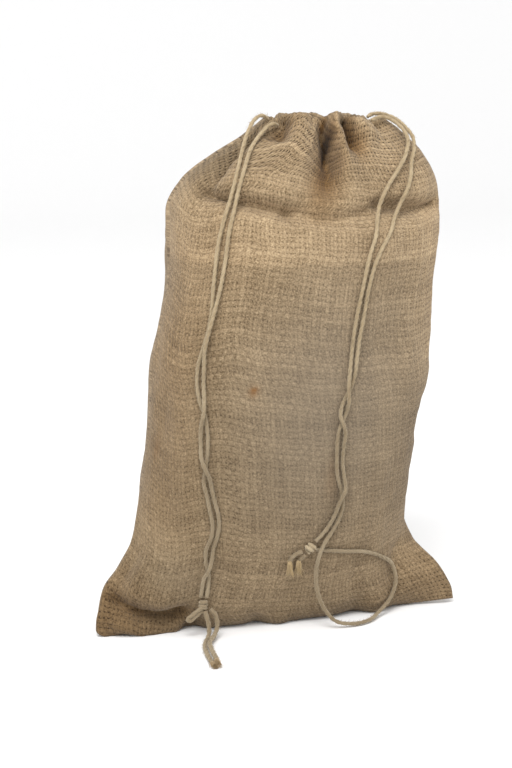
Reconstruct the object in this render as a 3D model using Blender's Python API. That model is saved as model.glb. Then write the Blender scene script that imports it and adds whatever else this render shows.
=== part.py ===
"""Drawstring hessian sack, standing filled-out but empty, with its mouth drawn in.

The sack is one hollow cloth solid: a front and a back panel that meet in a bottom seam with two
pointed corners, two soft sides, a gathered neck and an open mouth. Four strands of jute twine leave
the hem, two on each side, and each pair is tied off in a knot with frayed ends.
Lengths are written in millimetres and turned into metres where the meshes are made.
"""
import math

import bmesh
import bpy
import numpy as np
from mathutils import Vector

MM = 0.001

# Cloth
CLOTH_WALL = 1.6
HEM_WALL = 2.3
HEM_DEPTH = 95.0
SEAM_HALF = 2.0
PANEL_COLUMNS = 34
LOOP_SAMPLES = 241

# The sack in sections, one row for each level of the cloth, from the bottom seam to the rim.
# "cloth" is the distance from the seam along the front; left, right, front and back say where the
# section passes at its two sides and at the middle of its front and back; a section is
# |across| ** span + |depth| ** crown = 1 between them, so a crown under 1 gives thin, pointed ends.
SECTION_COLUMNS = ("cloth", "left_x", "left_y", "left_z", "right_x", "right_y", "right_z",
                   "front_y", "front_z", "back_y", "back_z", "span", "crown")
SECTIONS = (
    (0, -115, -35, 0, 119.5, -35, 3, -28, -1, -24, -1, 3.4, 0.60),
    (4, -119.2, -34.5, 3, 119.3, -34.5, 6, -32, -1, -18.5, -1, 3.4, 0.60),
    (8, -119, -34, 7, 119, -34, 9, -36, -1, -13, -1, 3.4, 0.60),
    (18, -116.8, -32, 16.5, 115, -32, 18, -44, 3, -3, -1, 3.3, 0.66),
    (30, -113, -28, 28, 107, -27, 29, -50, 13, 11, -1, 3.1, 0.80),
    (45, -101, -20, 40, 96.5, -18, 42, -54.5, 28, 29, -1, 2.9, 1.10),
    (62, -91.5, -12, 55, 93.5, -9, 56, -57, 45, 45, 5, 2.7, 1.50),
    (80, -86, -5, 72, 94.5, -3, 72, -58.5, 62, 53, 20, 2.5, 1.80),
    (105, -80.5, 0, 94, 97, 0, 94, -59, 87, 57, 46, 2.4, 2.10),
    (135, -76, 2, 122, 102, 2, 120, -58.5, 117, 58.5, 78, 2.4, 2.30),
    (158, -75, 2, 146, 106, 2, 141, -58, 140, 58.5, 104, 2.4, 2.40),
    (175, -74, 2, 162, 109.5, 2, 158, -57.5, 157, 58, 124, 2.4, 2.40),
    (200, -69, 2, 186, 109.5, 2, 184, -57, 182, 57, 152, 2.4, 2.40),
    (225, -63.5, 2, 210, 110, 2, 208, -57.5, 207, 56, 182, 2.4, 2.40),
    (245, -61.5, 2, 229, 112, 2, 230, -57, 227, 55, 206, 2.4, 2.40),
    (262, -61.5, 2, 246, 114, 2, 247, -53.5, 243, 53, 227, 2.4, 2.35),
    (280, -61.5, 1, 263, 114, 1, 264, -48, 260, 49, 248, 2.3, 2.30),
    (297, -53, 0, 280, 111, 0, 281, -42.5, 276, 43, 268, 2.2, 2.20),
    (314, -35, -1, 294, 103.5, -1, 295, -35, 291, 36, 286, 2.1, 2.10),
    (330, -15, -1, 306, 91.5, 0, 307, -27, 305, 28, 302, 2.0, 2.00),
    (345, 2, 0, 319, 78, 0, 317, -19, 319, 19, 318, 2.0, 2.00),
)
RIM = SECTIONS[-1][0]
BASE_LEVELS = (0, 4, 9, 15, 22, 30, 40, 52, 68, 90, 115, 140, 158, 175, 200, 225, 245)
NECK_LEVELS = (258, 269, 279, 288, 297, 306, 315, 323, 330, 336, 341, 345)
INNER_START = 1

# Folds: panel (-1 front, 1 back), how far the cloth is pushed out (inward if negative), half width
# at the path's start and end, the share of that width on the path's left-hand side, how much of
# the path its start and its end take to fade in and out, how sharp its trough or crest is, and the
# path as (share of the panel's width, cloth level).
FOLD_COLUMNS = ("panel", "rise", "wide_start", "wide_end", "left_share", "fade_in", "fade_out",
                "sharp", "path")
FRONT = -1
BACK = 1
FOLDS = (
    # neck, front: the left hollow, the wide smooth pleat, the deep slit and the soft valley that
    # opens under it, the narrow ridge beside it, and the second tuck with its rolled edge
    (FRONT, -9, 8, 7, 0.7, 0.25, 0.4, 2.0, ((0.16, 345), (0.19, 338), (0.215, 332), (0.23, 325))),
    (FRONT, 6.5, 12, 20, 0.6, 0.0, 0.6, 2.0, ((0.26, 346), (0.305, 330), (0.335, 318), (0.35, 298))),
    (FRONT, -13, 5.0, 6.0, 0.8, 0.25, 0.4, 1.8, ((0.395, 346), (0.423, 342), (0.452, 339),
                                                 (0.475, 336), (0.488, 331.5), (0.497, 325.5),
                                                 (0.504, 318), (0.506, 306))),
    (FRONT, -7, 8, 13, 0.6, 0.2, 0.5, 1.8, ((0.455, 341), (0.48, 329), (0.492, 317), (0.498, 305),
                                            (0.505, 288))),
    (FRONT, 6, 4.2, 6, 1.0, 0.0, 0.6, 2.0, ((0.483, 346), (0.499, 337.5), (0.513, 331.5),
                                            (0.527, 324), (0.545, 318), (0.562, 312),
                                            (0.585, 303))),
    (FRONT, -11, 4.8, 6.5, 0.9, 0.1, 0.5, 1.8, ((0.55, 346), (0.565, 342), (0.58, 338),
                                                (0.59, 333.5), (0.60, 328), (0.625, 319))),
    (FRONT, 5, 5.0, 7, 1.0, 0.0, 0.5, 2.0, ((0.58, 347), (0.62, 342), (0.655, 337.5),
                                            (0.69, 333), (0.74, 327))),
    (FRONT, -5, 5, 6, 1.0, 0.0, 0.6, 2.0, ((0.79, 346), (0.82, 341), (0.835, 332))),
    # shoulder, front: the left pleat and the lobe beside it
    (FRONT, -10, 5, 6, 0.45, 0.2, 0.3, 1.4, ((0.07, 336), (0.085, 324), (0.10, 313), (0.12, 303),
                                             (0.125, 294))),
    (FRONT, 3, 7, 9, 1.0, 0.3, 0.4, 2.0, ((0.14, 332), (0.15, 315), (0.18, 302))),
    # the slack crease that sags across the front, with fuller cloth over and under it
    (FRONT, -9, 5, 5, 0.7, 0.08, 0.15, 1.7, ((0.08, 297), (0.165, 293), (0.23, 291),
                                             (0.33, 287.5), (0.42, 282))),
    (FRONT, -5, 6, 6, 0.8, 0.15, 0.15, 1.8, ((0.36, 286), (0.47, 279.5), (0.52, 278), (0.58, 280),
                                             (0.66, 285))),
    (FRONT, -9, 5, 5, 0.8, 0.15, 0.1, 1.7, ((0.62, 284), (0.755, 284), (0.85, 284),
                                            (0.95, 287))),
    (FRONT, 4, 6, 6, 1.6, 0.2, 0.3, 2.0, ((0.12, 304), (0.33, 297), (0.45, 291))),
    (FRONT, 2, 7, 7, 1.6, 0.3, 0.2, 2.0, ((0.64, 295), (0.78, 295), (0.92, 298))),
    (FRONT, 2.5, 11, 11, 1.0, 0.2, 0.2, 2.0, ((0.1, 276), (0.33, 270), (0.52, 260), (0.75, 268),
                                              (0.93, 270))),
    # bottom, front: the body swells over the left corner; the right corner falls away softly
    (FRONT, 8, 7, 7, 3.0, 0.2, 0.5, 2.0, ((0.02, 38), (0.07, 35), (0.14, 34), (0.20, 40),
                                          (0.26, 46))),
    (FRONT, -6, 3.8, 4.2, 1.0, 0.02, 0.2, 1.6, ((0.0, 31.5), (0.02, 28.5), (0.04, 25), (0.07, 22.5),
                                                (0.107, 21), (0.143, 21), (0.177, 23.5), (0.197, 28),
                                                (0.217, 32), (0.245, 30))),
    # bottom, front: the foot of the left corner reaches forward along the ground
    (FRONT, 8, 7, 7, 1.0, 0.15, 0.15, 2.0, ((0.015, 10), (0.07, 9), (0.13, 8), (0.18, 7),
                                            (0.235, 6))),
    (FRONT, -3, 9, 9, 1.0, 0.3, 0.3, 2.0, ((0.84, 18), (0.88, 38), (0.90, 58))),
    # body, front: long soft hollows beside the corners and the dent at the right side
    (FRONT, -1.5, 12, 16, 1.0, 0.3, 0.4, 2.0, ((0.12, 70), (0.10, 120), (0.08, 190))),
    (FRONT, -4, 8, 8, 1.0, 0.4, 0.5, 2.0, ((1.0, 154), (0.93, 150), (0.90, 120))),
    (FRONT, 1.5, 16, 16, 1.0, 0.3, 0.3, 2.0, ((0.30, 70), (0.36, 130), (0.33, 200))),
    # neck, back: four tucks and the ridges between them
    (BACK, -10, 5, 8, 1.0, 0.0, 0.6, 1.6, ((0.13, 346), (0.15, 330), (0.19, 308))),
    (BACK, 4, 8, 14, 1.0, 0.0, 0.6, 2.0, ((0.24, 346), (0.26, 325), (0.29, 300))),
    (BACK, -14, 4, 9, 1.0, 0.0, 0.7, 1.5, ((0.37, 346), (0.39, 328), (0.41, 300), (0.42, 282))),
    (BACK, 5, 6, 10, 1.0, 0.0, 0.6, 2.0, ((0.48, 346), (0.49, 326), (0.49, 302))),
    (BACK, -11, 4, 8, 1.0, 0.0, 0.6, 1.6, ((0.60, 346), (0.59, 326), (0.57, 304))),
    (BACK, 4, 7, 12, 1.0, 0.0, 0.6, 2.0, ((0.71, 346), (0.69, 326), (0.68, 300))),
    (BACK, -9, 5, 8, 1.0, 0.0, 0.6, 1.6, ((0.83, 346), (0.81, 326), (0.78, 305))),
    # shoulder and body, back
    (BACK, -4, 6, 6, 1.0, 0.2, 0.2, 1.8, ((0.08, 292), (0.30, 284), (0.52, 288))),
    (BACK, -4, 6, 6, 1.0, 0.2, 0.2, 1.8, ((0.50, 280), (0.70, 284), (0.93, 290))),
    (BACK, -3, 9, 12, 1.0, 0.3, 0.4, 2.0, ((0.10, 70), (0.12, 120), (0.09, 190))),
    (BACK, -3, 9, 12, 1.0, 0.3, 0.4, 2.0, ((0.90, 60), (0.88, 110), (0.91, 170))),
    (BACK, 3, 10, 10, 1.0, 0.3, 0.3, 2.0, ((0.25, 100), (0.50, 92), (0.75, 100))),
)
RIM_LIFT = -0.05
RIM_LIFT_REACH = 22.0


def clear_scene():
    for thing in list(bpy.data.objects):
        bpy.data.objects.remove(thing)


def smooth_column(levels, values, at):
    """A monotone-friendly cubic through the table's values, read at the given levels."""
    levels = np.asarray(levels, float)
    values = np.asarray(values, float)
    step = np.diff(levels)
    slope = np.diff(values) / step
    tangent = np.zeros(len(values))
    tangent[0], tangent[-1] = slope[0], slope[-1]
    same_way = slope[:-1] * slope[1:] > 0
    harmonic = np.zeros(len(slope) - 1)
    before, after = slope[:-1][same_way], slope[1:][same_way]
    weight_a = (2 * step[1:] + step[:-1])[same_way]
    weight_b = (step[1:] + 2 * step[:-1])[same_way]
    harmonic[same_way] = (weight_a + weight_b) / (weight_a / before + weight_b / after)
    tangent[1:-1] = harmonic
    at = np.clip(np.asarray(at, float), levels[0], levels[-1])
    row = np.clip(np.searchsorted(levels, at, side="right") - 1, 0, len(step) - 1)
    part = (at - levels[row]) / step[row]
    return ((1 + 2 * part) * (1 - part) ** 2 * values[row]
            + part * (1 - part) ** 2 * step[row] * tangent[row]
            + part ** 2 * (3 - 2 * part) * values[row + 1]
            + part ** 2 * (part - 1) * step[row] * tangent[row + 1])


def section_at(cloth):
    """Every column of the section table at one level of the cloth."""
    table = np.array(SECTIONS, float)
    return {name: float(smooth_column(table[:, 0], table[:, index], cloth))
            for index, name in enumerate(SECTION_COLUMNS)}


def panel_curve(section, side):
    """One half of a section, left seam to right seam, as points at equal steps along the cloth."""
    across = np.sin(np.linspace(-math.pi / 2, math.pi / 2, LOOP_SAMPLES))
    depth = (1 - np.abs(across) ** section["span"]).clip(0) ** (1 / section["crown"])
    rightward = (across + 1) / 2
    middle_y, middle_z = ((section["front_y"], section["front_z"]) if side < 0
                          else (section["back_y"], section["back_z"]))
    side_x = section["left_x"] + (section["right_x"] - section["left_x"]) * rightward
    side_y = section["left_y"] + (section["right_y"] - section["left_y"]) * rightward
    side_z = section["left_z"] + (section["right_z"] - section["left_z"]) * rightward
    y = side_y * (1 - depth) + middle_y * depth + side * SEAM_HALF * (1 - depth)
    z = side_z * (1 - depth) + middle_z * depth
    return np.stack([side_x, y, z], axis=1)


def along_panel(points, fractions):
    """Points at the given fractions of a curve's length, and that length."""
    steps = np.linalg.norm(np.diff(points, axis=0), axis=1)
    run = np.concatenate([[0], np.cumsum(steps)])
    placed = np.stack([np.interp(fractions * run[-1], run, points[:, axis]) for axis in range(3)],
                      axis=1)
    return placed, run[-1]


def plain_sack(levels, front_fractions, back_fractions):
    """The unfolded form: a grid of rows (levels) by columns (once round), and the panels' widths."""
    rows, front_widths, back_widths = [], [], []
    for level in levels:
        section = section_at(level)
        front, front_width = along_panel(panel_curve(section, -1), front_fractions)
        back, back_width = along_panel(panel_curve(section, 1), back_fractions[::-1])
        rows.append(np.concatenate([front, back[::-1]]))
        front_widths.append(front_width)
        back_widths.append(back_width)
    return np.array(rows), np.array(front_widths), np.array(back_widths)


def outward(grid):
    """Unit normals of a grid that closes on itself from column to column."""
    around = np.roll(grid, -1, axis=1) - np.roll(grid, 1, axis=1)
    upward = np.gradient(grid, axis=0)
    normal = np.cross(around, upward)
    return normal / np.linalg.norm(normal, axis=2, keepdims=True)


def smooth_step(low, high, value):
    part = ((value - low) / (high - low)).clip(0, 1)
    return part * part * (3 - 2 * part)


def nearest_on_path(path, across, level):
    """Distance from each grid point to a path, the share of its length there, and which side."""
    spans = np.diff(path, axis=0)
    lengths = np.linalg.norm(spans, axis=1)
    starts = np.concatenate([[0], np.cumsum(lengths)])
    best = np.full(across.shape, np.inf)
    share = np.zeros(across.shape)
    leftward = np.zeros(across.shape)
    for index, (span, length) in enumerate(zip(spans, lengths)):
        off_across = across - path[index, 0]
        off_level = level - path[index, 1]
        part = ((off_across * span[0] + off_level * span[1]) / length ** 2).clip(0, 1)
        distance = np.hypot(off_across - part * span[0], off_level - part * span[1])
        closer = distance < best
        best = np.where(closer, distance, best)
        share = np.where(closer, (starts[index] + part * length) / starts[-1], share)
        turned = (span[0] * off_level - span[1] * off_across) / length
        leftward = np.where(closer, turned, leftward)
    return best, share, leftward


def fold_push(panel, fractions, levels, widths):
    """How far the folds push one panel's cloth outward, on its grid of levels by fractions."""
    across = (fractions[None, :] - 0.5) * widths[:, None]
    level = np.broadcast_to(np.asarray(levels, float)[:, None], across.shape)
    push = np.zeros(across.shape)
    for row in FOLDS:
        fold = dict(zip(FOLD_COLUMNS, row))
        if fold["panel"] != panel:
            continue
        path = np.array([((share - 0.5) * np.interp(height, levels, widths), height)
                         for share, height in fold["path"]])
        distance, share, leftward = nearest_on_path(path, across, level)
        wide = fold["wide_start"] + (fold["wide_end"] - fold["wide_start"]) * share
        to_left = smooth_step(-1, 1, leftward / wide)
        wide = wide * (1 + (fold["left_share"] - 1) * to_left)
        strength = np.ones(share.shape)
        if fold["fade_in"]:
            strength *= smooth_step(0, fold["fade_in"], share)
        if fold["fade_out"]:
            strength *= 1 - smooth_step(1 - fold["fade_out"], 1, share)
        push += fold["rise"] * strength * np.exp(-(distance / wide) ** fold["sharp"])
    at_seam = 1 - np.abs(2 * fractions - 1) ** 10
    return push * at_seam[None, :]


def folded_sack(levels, fractions):
    """The outer face of the cloth: rows of points up the sack, each once round it."""
    plain, front_widths, back_widths = plain_sack(levels, fractions, fractions[::-1])
    normal = outward(plain)
    push = np.concatenate([fold_push(FRONT, fractions, levels, front_widths),
                           fold_push(BACK, fractions, levels, back_widths)[:, ::-1]], axis=1)
    folded = plain + normal * push[:, :, None]
    near_rim = smooth_step(RIM - RIM_LIFT_REACH, RIM, np.asarray(levels, float))
    folded[:, :, 2] += RIM_LIFT * push * near_rim[:, None]
    folded[:, :, 2] = folded[:, :, 2].clip(0)
    return folded


def wall_at(levels):
    hem = smooth_step(RIM - HEM_DEPTH - 4, RIM - HEM_DEPTH + 4, np.asarray(levels, float))
    return CLOTH_WALL + (HEM_WALL - CLOTH_WALL) * hem


def material(name, colour, roughness):
    shader = bpy.data.materials.new(name)
    shader.use_nodes = True
    surface = shader.node_tree.nodes["Principled BSDF"]
    surface.inputs["Base Color"].default_value = (*colour, 1)
    surface.inputs["Roughness"].default_value = roughness
    surface.inputs["Metallic"].default_value = 0.0
    return shader


def make_sack(cloth):
    levels = np.array(BASE_LEVELS + NECK_LEVELS, float)
    fractions = np.linspace(0, 1, PANEL_COLUMNS + 1)
    outer = folded_sack(levels, fractions)
    inner = outer - outward(outer) * wall_at(levels)[:, None, None]
    inner = inner[INNER_START:]
    mesh = bmesh.new()

    def add_rows(grid):
        return [[mesh.verts.new(Vector(point) * MM) for point in row] for row in grid]

    def skin(rows, flip):
        for low, high in zip(rows, rows[1:]):
            for index in range(len(low)):
                after = (index + 1) % len(low)
                face = [low[index], low[after], high[after], high[index]]
                mesh.faces.new(face[::-1] if flip else face)

    def close_bottom(row, flip):
        per_panel = PANEL_COLUMNS + 1
        front, back = row[:per_panel], row[per_panel:][::-1]
        for index in range(PANEL_COLUMNS):
            face = [front[index], back[index], back[index + 1], front[index + 1]]
            mesh.faces.new(face[::-1] if flip else face)

    outer_rows = add_rows(outer)
    inner_rows = add_rows(inner)
    skin(outer_rows, False)
    skin(inner_rows, True)
    skin([outer_rows[-1], inner_rows[-1]], False)
    close_bottom(outer_rows[0], False)
    close_bottom(inner_rows[0], True)
    bmesh.ops.triangulate(mesh, faces=mesh.faces[:])
    data = bpy.data.meshes.new("sack")
    mesh.to_mesh(data)
    mesh.free()
    sack = bpy.data.objects.new("sack", data)
    sack.data.materials.append(cloth)
    bpy.context.collection.objects.link(sack)
    sack.data.shade_smooth()
    return sack


# ---- twine -------------------------------------------------------------------

TWINE = 3.0  # thickness of the drawstring twine
TWINE_STEP = 6.0  # length of one straight piece of a faceted strand
TWINE_SIDES_STEPS = 2  # bevel steps, which make eight flat sides round a strand

# Each strand's path in millimetres, from the cloth to its loose end. A strand comes out of a
# hollow in the gathered mouth, rises over the edge, and hangs down the front of the sack.
ROUTE_COLUMNS = ("x", "y", "z")
ROUTES = {
    "left_strand_a": (
        (0.1, -7, 317.5), (-2, -8.5, 319.4), (-5.8, -10.6, 320.2), (-9.9, -12.2, 318),
        (-13.2, -14, 313.9), (-16.6, -16.8, 308), (-19.9, -21.4, 301.6), (-24.6, -29.9, 292.6),
        (-28.2, -34.6, 284), (-31.4, -36.4, 274), (-36.7, -40.6, 261.3), (-40.8, -42.3, 248),
        (-43.3, -42.2, 230.5), (-44.9, -42.5, 215), (-46, -42.9, 203.5), (-47.6, -43.2, 195),
        (-49.6, -42.5, 187), (-52, -41.9, 179), (-54.2, -41.4, 170.5), (-55.4, -43, 158),
        (-54.2, -45.2, 148.5), (-51.8, -47.2, 140.5),
        (-50.5, -48.8, 129), (-50.8, -49.3, 116), (-52.4, -49.2, 104.5), (-53, -49.2, 98),
        (-51.4, -50.6, 89.5), (-50, -51.9, 80.5), (-48.7, -53.1, 72), (-49.8, -54.4, 64.5),
        (-52.7, -53.2, 57), (-53, -52.9, 48.5), (-51.5, -53.4, 40), (-52, -53.6, 32),
        (-53.1, -54, 25.4),
    ),
    "left_strand_b": (
        (4.8, -11.8, 313.7), (3.9, -13.1, 314.6), (1.4, -14.9, 315.4), (-1.8, -16.1, 314.4),
        (-6, -18, 311.2), (-10, -20.2, 307.6), (-14.5, -24, 303), (-18.5, -29, 298), (-21.5, -33.3, 292.5),
        (-24.2, -36, 286), (-27.5, -37.6, 276.5), (-31.2, -41.2, 265), (-35.1, -44.6, 253),
        (-37.9, -45.1, 234.5), (-40.2, -45.2, 222), (-42.2, -45, 213.5), (-44.1, -45.9, 207.5),
        (-46, -46.5, 201.5), (-48, -46.6, 194.5), (-50, -46.2, 187), (-51.2, -45.4, 180),
        (-51.4, -44.8, 171.5), (-51.9, -45.1, 160), (-52.2, -47.6, 151.5), (-52.8, -49.6, 146),
        (-53.5, -50.7, 141), (-54.3, -49.2, 136), (-54.4, -47.3, 129.5), (-54.4, -47.4, 120),
        (-54.7, -48.9, 115.5), (-54.2, -51.4, 111), (-52.6, -53.3, 106.5), (-50.4, -52.2, 102),
        (-49, -51.3, 96), (-47.2, -52.6, 87), (-45.3, -54, 78), (-44.9, -54.5, 71),
        (-46.3, -54.7, 64.5), (-48.4, -53.7, 57), (-49.6, -54.8, 50.5), (-52.3, -57.2, 44),
        (-55, -54.9, 38), (-55.6, -53.1, 31.5), (-56.5, -52.7, 25.7),
    ),
    "right_strand_a": (
        (65.3, -15.7, 316.6), (73.5, -13.4, 318.6), (84, -15.7, 313.4), (87.8, -21, 306),
        (84.5, -28, 296.5), (76.7, -35.2, 287.2), (66.9, -42.5, 276.8), (61.2, -44.2, 265.5),
        (58, -49.9, 256.5), (55.7, -54.6, 249.4), (51, -57.7, 238), (46.8, -58.7, 221),
        (40.4, -58.9, 188), (38.2, -59.1, 166), (36.3, -62.4, 153), (36.4, -63.1, 148),
        (36, -60, 140.5), (31.5, -60, 130), (29.7, -60.1, 112), (30.4, -60.1, 99),
        (33, -60, 89), (34, -59.9, 80), (31.4, -60, 71), (27, -60, 63.5),
        (21.5, -62.4, 57), (17.5, -64, 49.5), (16, -62, 37), (17.2, -62, 25),
        (21.8, -62.2, 13.5), (29.5, -62.8, 4.7), (40, -62.9, 2.1), (52, -59.8, 2.1),
        (63.5, -50, 4), (73, -44.2, 10.2), (77.9, -40.4, 21), (75.5, -40, 31),
        (65, -47.2, 39.8), (52.5, -53, 45.8), (36, -57.5, 49), (17.3, -59.9, 52.3),
    ),
    "right_strand_b": (
        (64.3, -11.3, 318.4), (66.3, -10.7, 319.6), (70.5, -10, 320.4), (77, -9.8, 319.6),
        (83.5, -11, 316.8), (89, -14, 311.8), (92.4, -18.8, 305.6), (91.6, -23, 299),
        (88, -28.5, 291.5), (84.4, -36.5, 282), (81.5, -39.4, 275.5), (77.3, -40, 268),
        (70.5, -46.5, 258.5), (65.8, -52.6, 250.3), (60, -55.4, 242), (54.5, -57.5, 232),
        (50, -58.4, 217), (46.8, -58.7, 199), (44.2, -59, 186), (42.7, -58.9, 174),
        (41.2, -58.9, 162), (37.8, -59, 153), (33.2, -59.8, 145), (31.1, -62.6, 138),
        (33.1, -63.5, 132), (34.6, -62, 126), (34.2, -60.2, 118), (33.6, -60.1, 108),
        (34.3, -60.4, 100), (34.8, -61.8, 95), (34.3, -63.6, 90), (32, -63.4, 85.3),
        (30.2, -61.9, 80), (28.9, -60.2, 74.5), (26, -60, 69), (21.3, -60, 62.8),
        (16.1, -60.3, 57.9),
    ),
    "left_tail_a": (
        (-54.3, -54.9, 17), (-53.6, -56.4, 13.4), (-52.8, -57.6, 9), (-52.8, -59.3, 5),
        (-54.4, -62.6, 2.6), (-57.4, -68.3, 1.8), (-59.8, -76, 1.8), (-61.2, -85, 1.8),
        (-62, -94.5, 1.8), (-62.3, -104.5, 1.8),
    ),
    "left_tail_b": (
        (-50.9, -54.9, 17.8), (-48.6, -56, 15.4), (-47.4, -57.2, 11.6), (-47.6, -58.8, 7.4),
        (-49.6, -61.4, 4), (-52.5, -66, 3.2), (-55.4, -71.5, 3.4), (-57.2, -78, 3.5),
        (-58.2, -85.5, 3.6), (-58.9, -94.5, 3.6), (-59.4, -104, 3.4),
    ),
    "right_tail_a": (
        (9.4, -60.8, 49.6), (6.6, -60.4, 47.8), (4.9, -60, 44.6), (4.4, -59.6, 38),
    ),
    "right_tail_b": (
        (7, -61, 52.2), (3, -61, 51), (0.2, -60.6, 48.2), (-0.9, -60, 44.6), (-1, -59.5, 38),
    ),
}

# A pulled-tight overhand knot: its middle, its half sizes, how far its turns lean, and where the
# loop left over from it reaches, from its middle (none for the right knot).
KNOT_COLUMNS = ("name", "x", "y", "z", "half_x", "half_y", "half_z", "twist", "loop_x", "loop_z")
KNOTS = (
    ("left_knot", -55.0, -53.6, 21.3, 3.8, 3.8, 3.7, 0.6, -7.0, -7.4),
    ("right_knot", 12.0, -61.2, 54.0, 4.6, 3.4, 4.9, -0.7, 0.0, 0.0),
)
KNOT_RIDGE = 0.10  # how far a turn stands proud, as a share of the knot's half size
KNOT_TURNS = 5.0  # how closely the turns follow each other up the knot
KNOT_SIDES = 2.0  # ridges met once round the knot
KNOT_DETAIL = 3  # subdivisions of the knot's rounded form
LOOP_POINT = 8.0  # how narrow the loop is that stands out of the knot


def smooth_route(points):
    """A smooth curve through the points, then read again at even steps along its length."""
    stops = np.array(points, float)
    lengths = np.linalg.norm(np.diff(stops, axis=0), axis=1)
    slopes = np.diff(stops, axis=0) / lengths[:, None]
    turns = slopes.copy()
    before, after = lengths[:-1, None], lengths[1:, None]
    turns[1:] = (slopes[:-1] * after + slopes[1:] * before) / (before + after)
    turns = np.vstack((turns, slopes[-1:]))
    fine = []
    for start, length in enumerate(lengths):
        for share in np.arange(0.0, 1.0, 1.0 / math.ceil(length)):
            rest = 1.0 - share
            fine.append(
                (1 + 2 * share) * rest ** 2 * stops[start]
                + share * rest ** 2 * length * turns[start]
                + share ** 2 * (3 - 2 * share) * stops[start + 1]
                - share ** 2 * rest * length * turns[start + 1]
            )
    fine.append(stops[-1])
    fine = np.array(fine)
    travelled = np.concatenate(([0.0], np.cumsum(np.linalg.norm(np.diff(fine, axis=0), axis=1))))
    count = max(3, round(travelled[-1] / TWINE_STEP) + 1)
    stations = np.linspace(0.0, travelled[-1], count)
    return np.column_stack([np.interp(stations, travelled, fine[:, axis]) for axis in range(3)])


def make_strand(name, points, twine):
    """One strand of twine as a round tube with closed ends."""
    curve = bpy.data.curves.new(name, "CURVE")
    curve.dimensions = "3D"
    curve.bevel_depth = TWINE / 2 * MM
    curve.bevel_resolution = TWINE_SIDES_STEPS
    curve.use_fill_caps = True
    path = smooth_route(points) * MM
    spline = curve.splines.new("POLY")
    spline.points.add(len(path) - 1)
    for point, place in zip(spline.points, path):
        point.co = (*place, 1.0)
    strand = bpy.data.objects.new(name, curve)
    strand.data.materials.append(twine)
    bpy.context.collection.objects.link(strand)


def make_knot(name, middle, half, twist, loop, twine):
    """A pulled-tight knot: a rounded lump with its turns around it, and the loop it leaves."""
    shape = bmesh.new()
    bmesh.ops.create_icosphere(shape, subdivisions=KNOT_DETAIL, radius=1.0)
    loop_way = loop.normalized()
    for vertex in shape.verts:
        around = math.atan2(vertex.co.y, vertex.co.x)
        ridge = math.cos(KNOT_SIDES * around + KNOT_TURNS * vertex.co.z + twist * vertex.co.x)
        toward_loop = max(0.0, vertex.co.dot(loop_way)) ** LOOP_POINT
        vertex.co *= 1.0 - KNOT_RIDGE + KNOT_RIDGE * ridge
        lump = Vector(stretch * part for stretch, part in zip(half, vertex.co))
        vertex.co = (lump + loop * toward_loop) * MM
    mesh = bpy.data.meshes.new(name)
    shape.to_mesh(mesh)
    shape.free()
    knot = bpy.data.objects.new(name, mesh)
    knot.location = Vector(middle) * MM
    knot.data.materials.append(twine)
    bpy.context.collection.objects.link(knot)


# ---- build -------------------------------------------------------------------

clear_scene()
HESSIAN = material("hessian", (0.36, 0.26, 0.16), 0.95)
JUTE_TWINE = material("jute_twine", (0.55, 0.43, 0.26), 0.9)
make_sack(HESSIAN)
for strand_name, route in ROUTES.items():
    make_strand(strand_name, route, JUTE_TWINE)
for knot_name, x, y, z, half_x, half_y, half_z, twist, loop_x, loop_z in KNOTS:
    make_knot(knot_name, (x, y, z), (half_x, half_y, half_z), twist, Vector((loop_x, 0.0, loop_z)),
              JUTE_TWINE)
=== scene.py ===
"""The looks of the drawstring hessian sack: woven cloth, plied jute twine, knots and frayed ends.

The sack's cloth follows its solid on a finer grid. The small unevenness of slack hessian is added
to it, and its folds at the neck, the left corner and the foot are worked out further. The twines
follow the same routes as their solids.
Lengths are written in millimetres and turned into metres where the meshes are made.
"""
import math

import bpy
import numpy as np
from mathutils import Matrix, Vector, noise


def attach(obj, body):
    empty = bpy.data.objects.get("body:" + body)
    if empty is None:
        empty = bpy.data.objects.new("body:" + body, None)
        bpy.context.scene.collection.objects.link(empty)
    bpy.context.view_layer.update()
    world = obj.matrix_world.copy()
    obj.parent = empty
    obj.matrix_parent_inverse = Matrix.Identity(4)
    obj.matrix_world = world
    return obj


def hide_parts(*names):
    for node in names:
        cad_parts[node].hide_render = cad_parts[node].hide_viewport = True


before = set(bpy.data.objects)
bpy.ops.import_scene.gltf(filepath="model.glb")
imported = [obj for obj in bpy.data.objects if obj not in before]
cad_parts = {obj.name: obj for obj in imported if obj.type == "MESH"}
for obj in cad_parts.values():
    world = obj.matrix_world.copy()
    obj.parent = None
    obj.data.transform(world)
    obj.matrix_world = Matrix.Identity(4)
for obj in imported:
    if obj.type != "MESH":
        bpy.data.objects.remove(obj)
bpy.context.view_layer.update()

MM = 0.001
FRONT = -1
BACK = 1

# ---- the form of the cloth --------------------------------------------------------

CLOTH_WALL = 1.6
HEM_WALL = 2.3
HEM_DEPTH = 95.0
HEM_EDGE = 4.0  # the wall thickens over this far on each side of the hem's edge
SEAM_HALF = 2.0
SEAM_STILL = 10  # how steeply the folds die away towards the side seams
PANEL_COLUMNS = 150
LOOP_SAMPLES = 241

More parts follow.
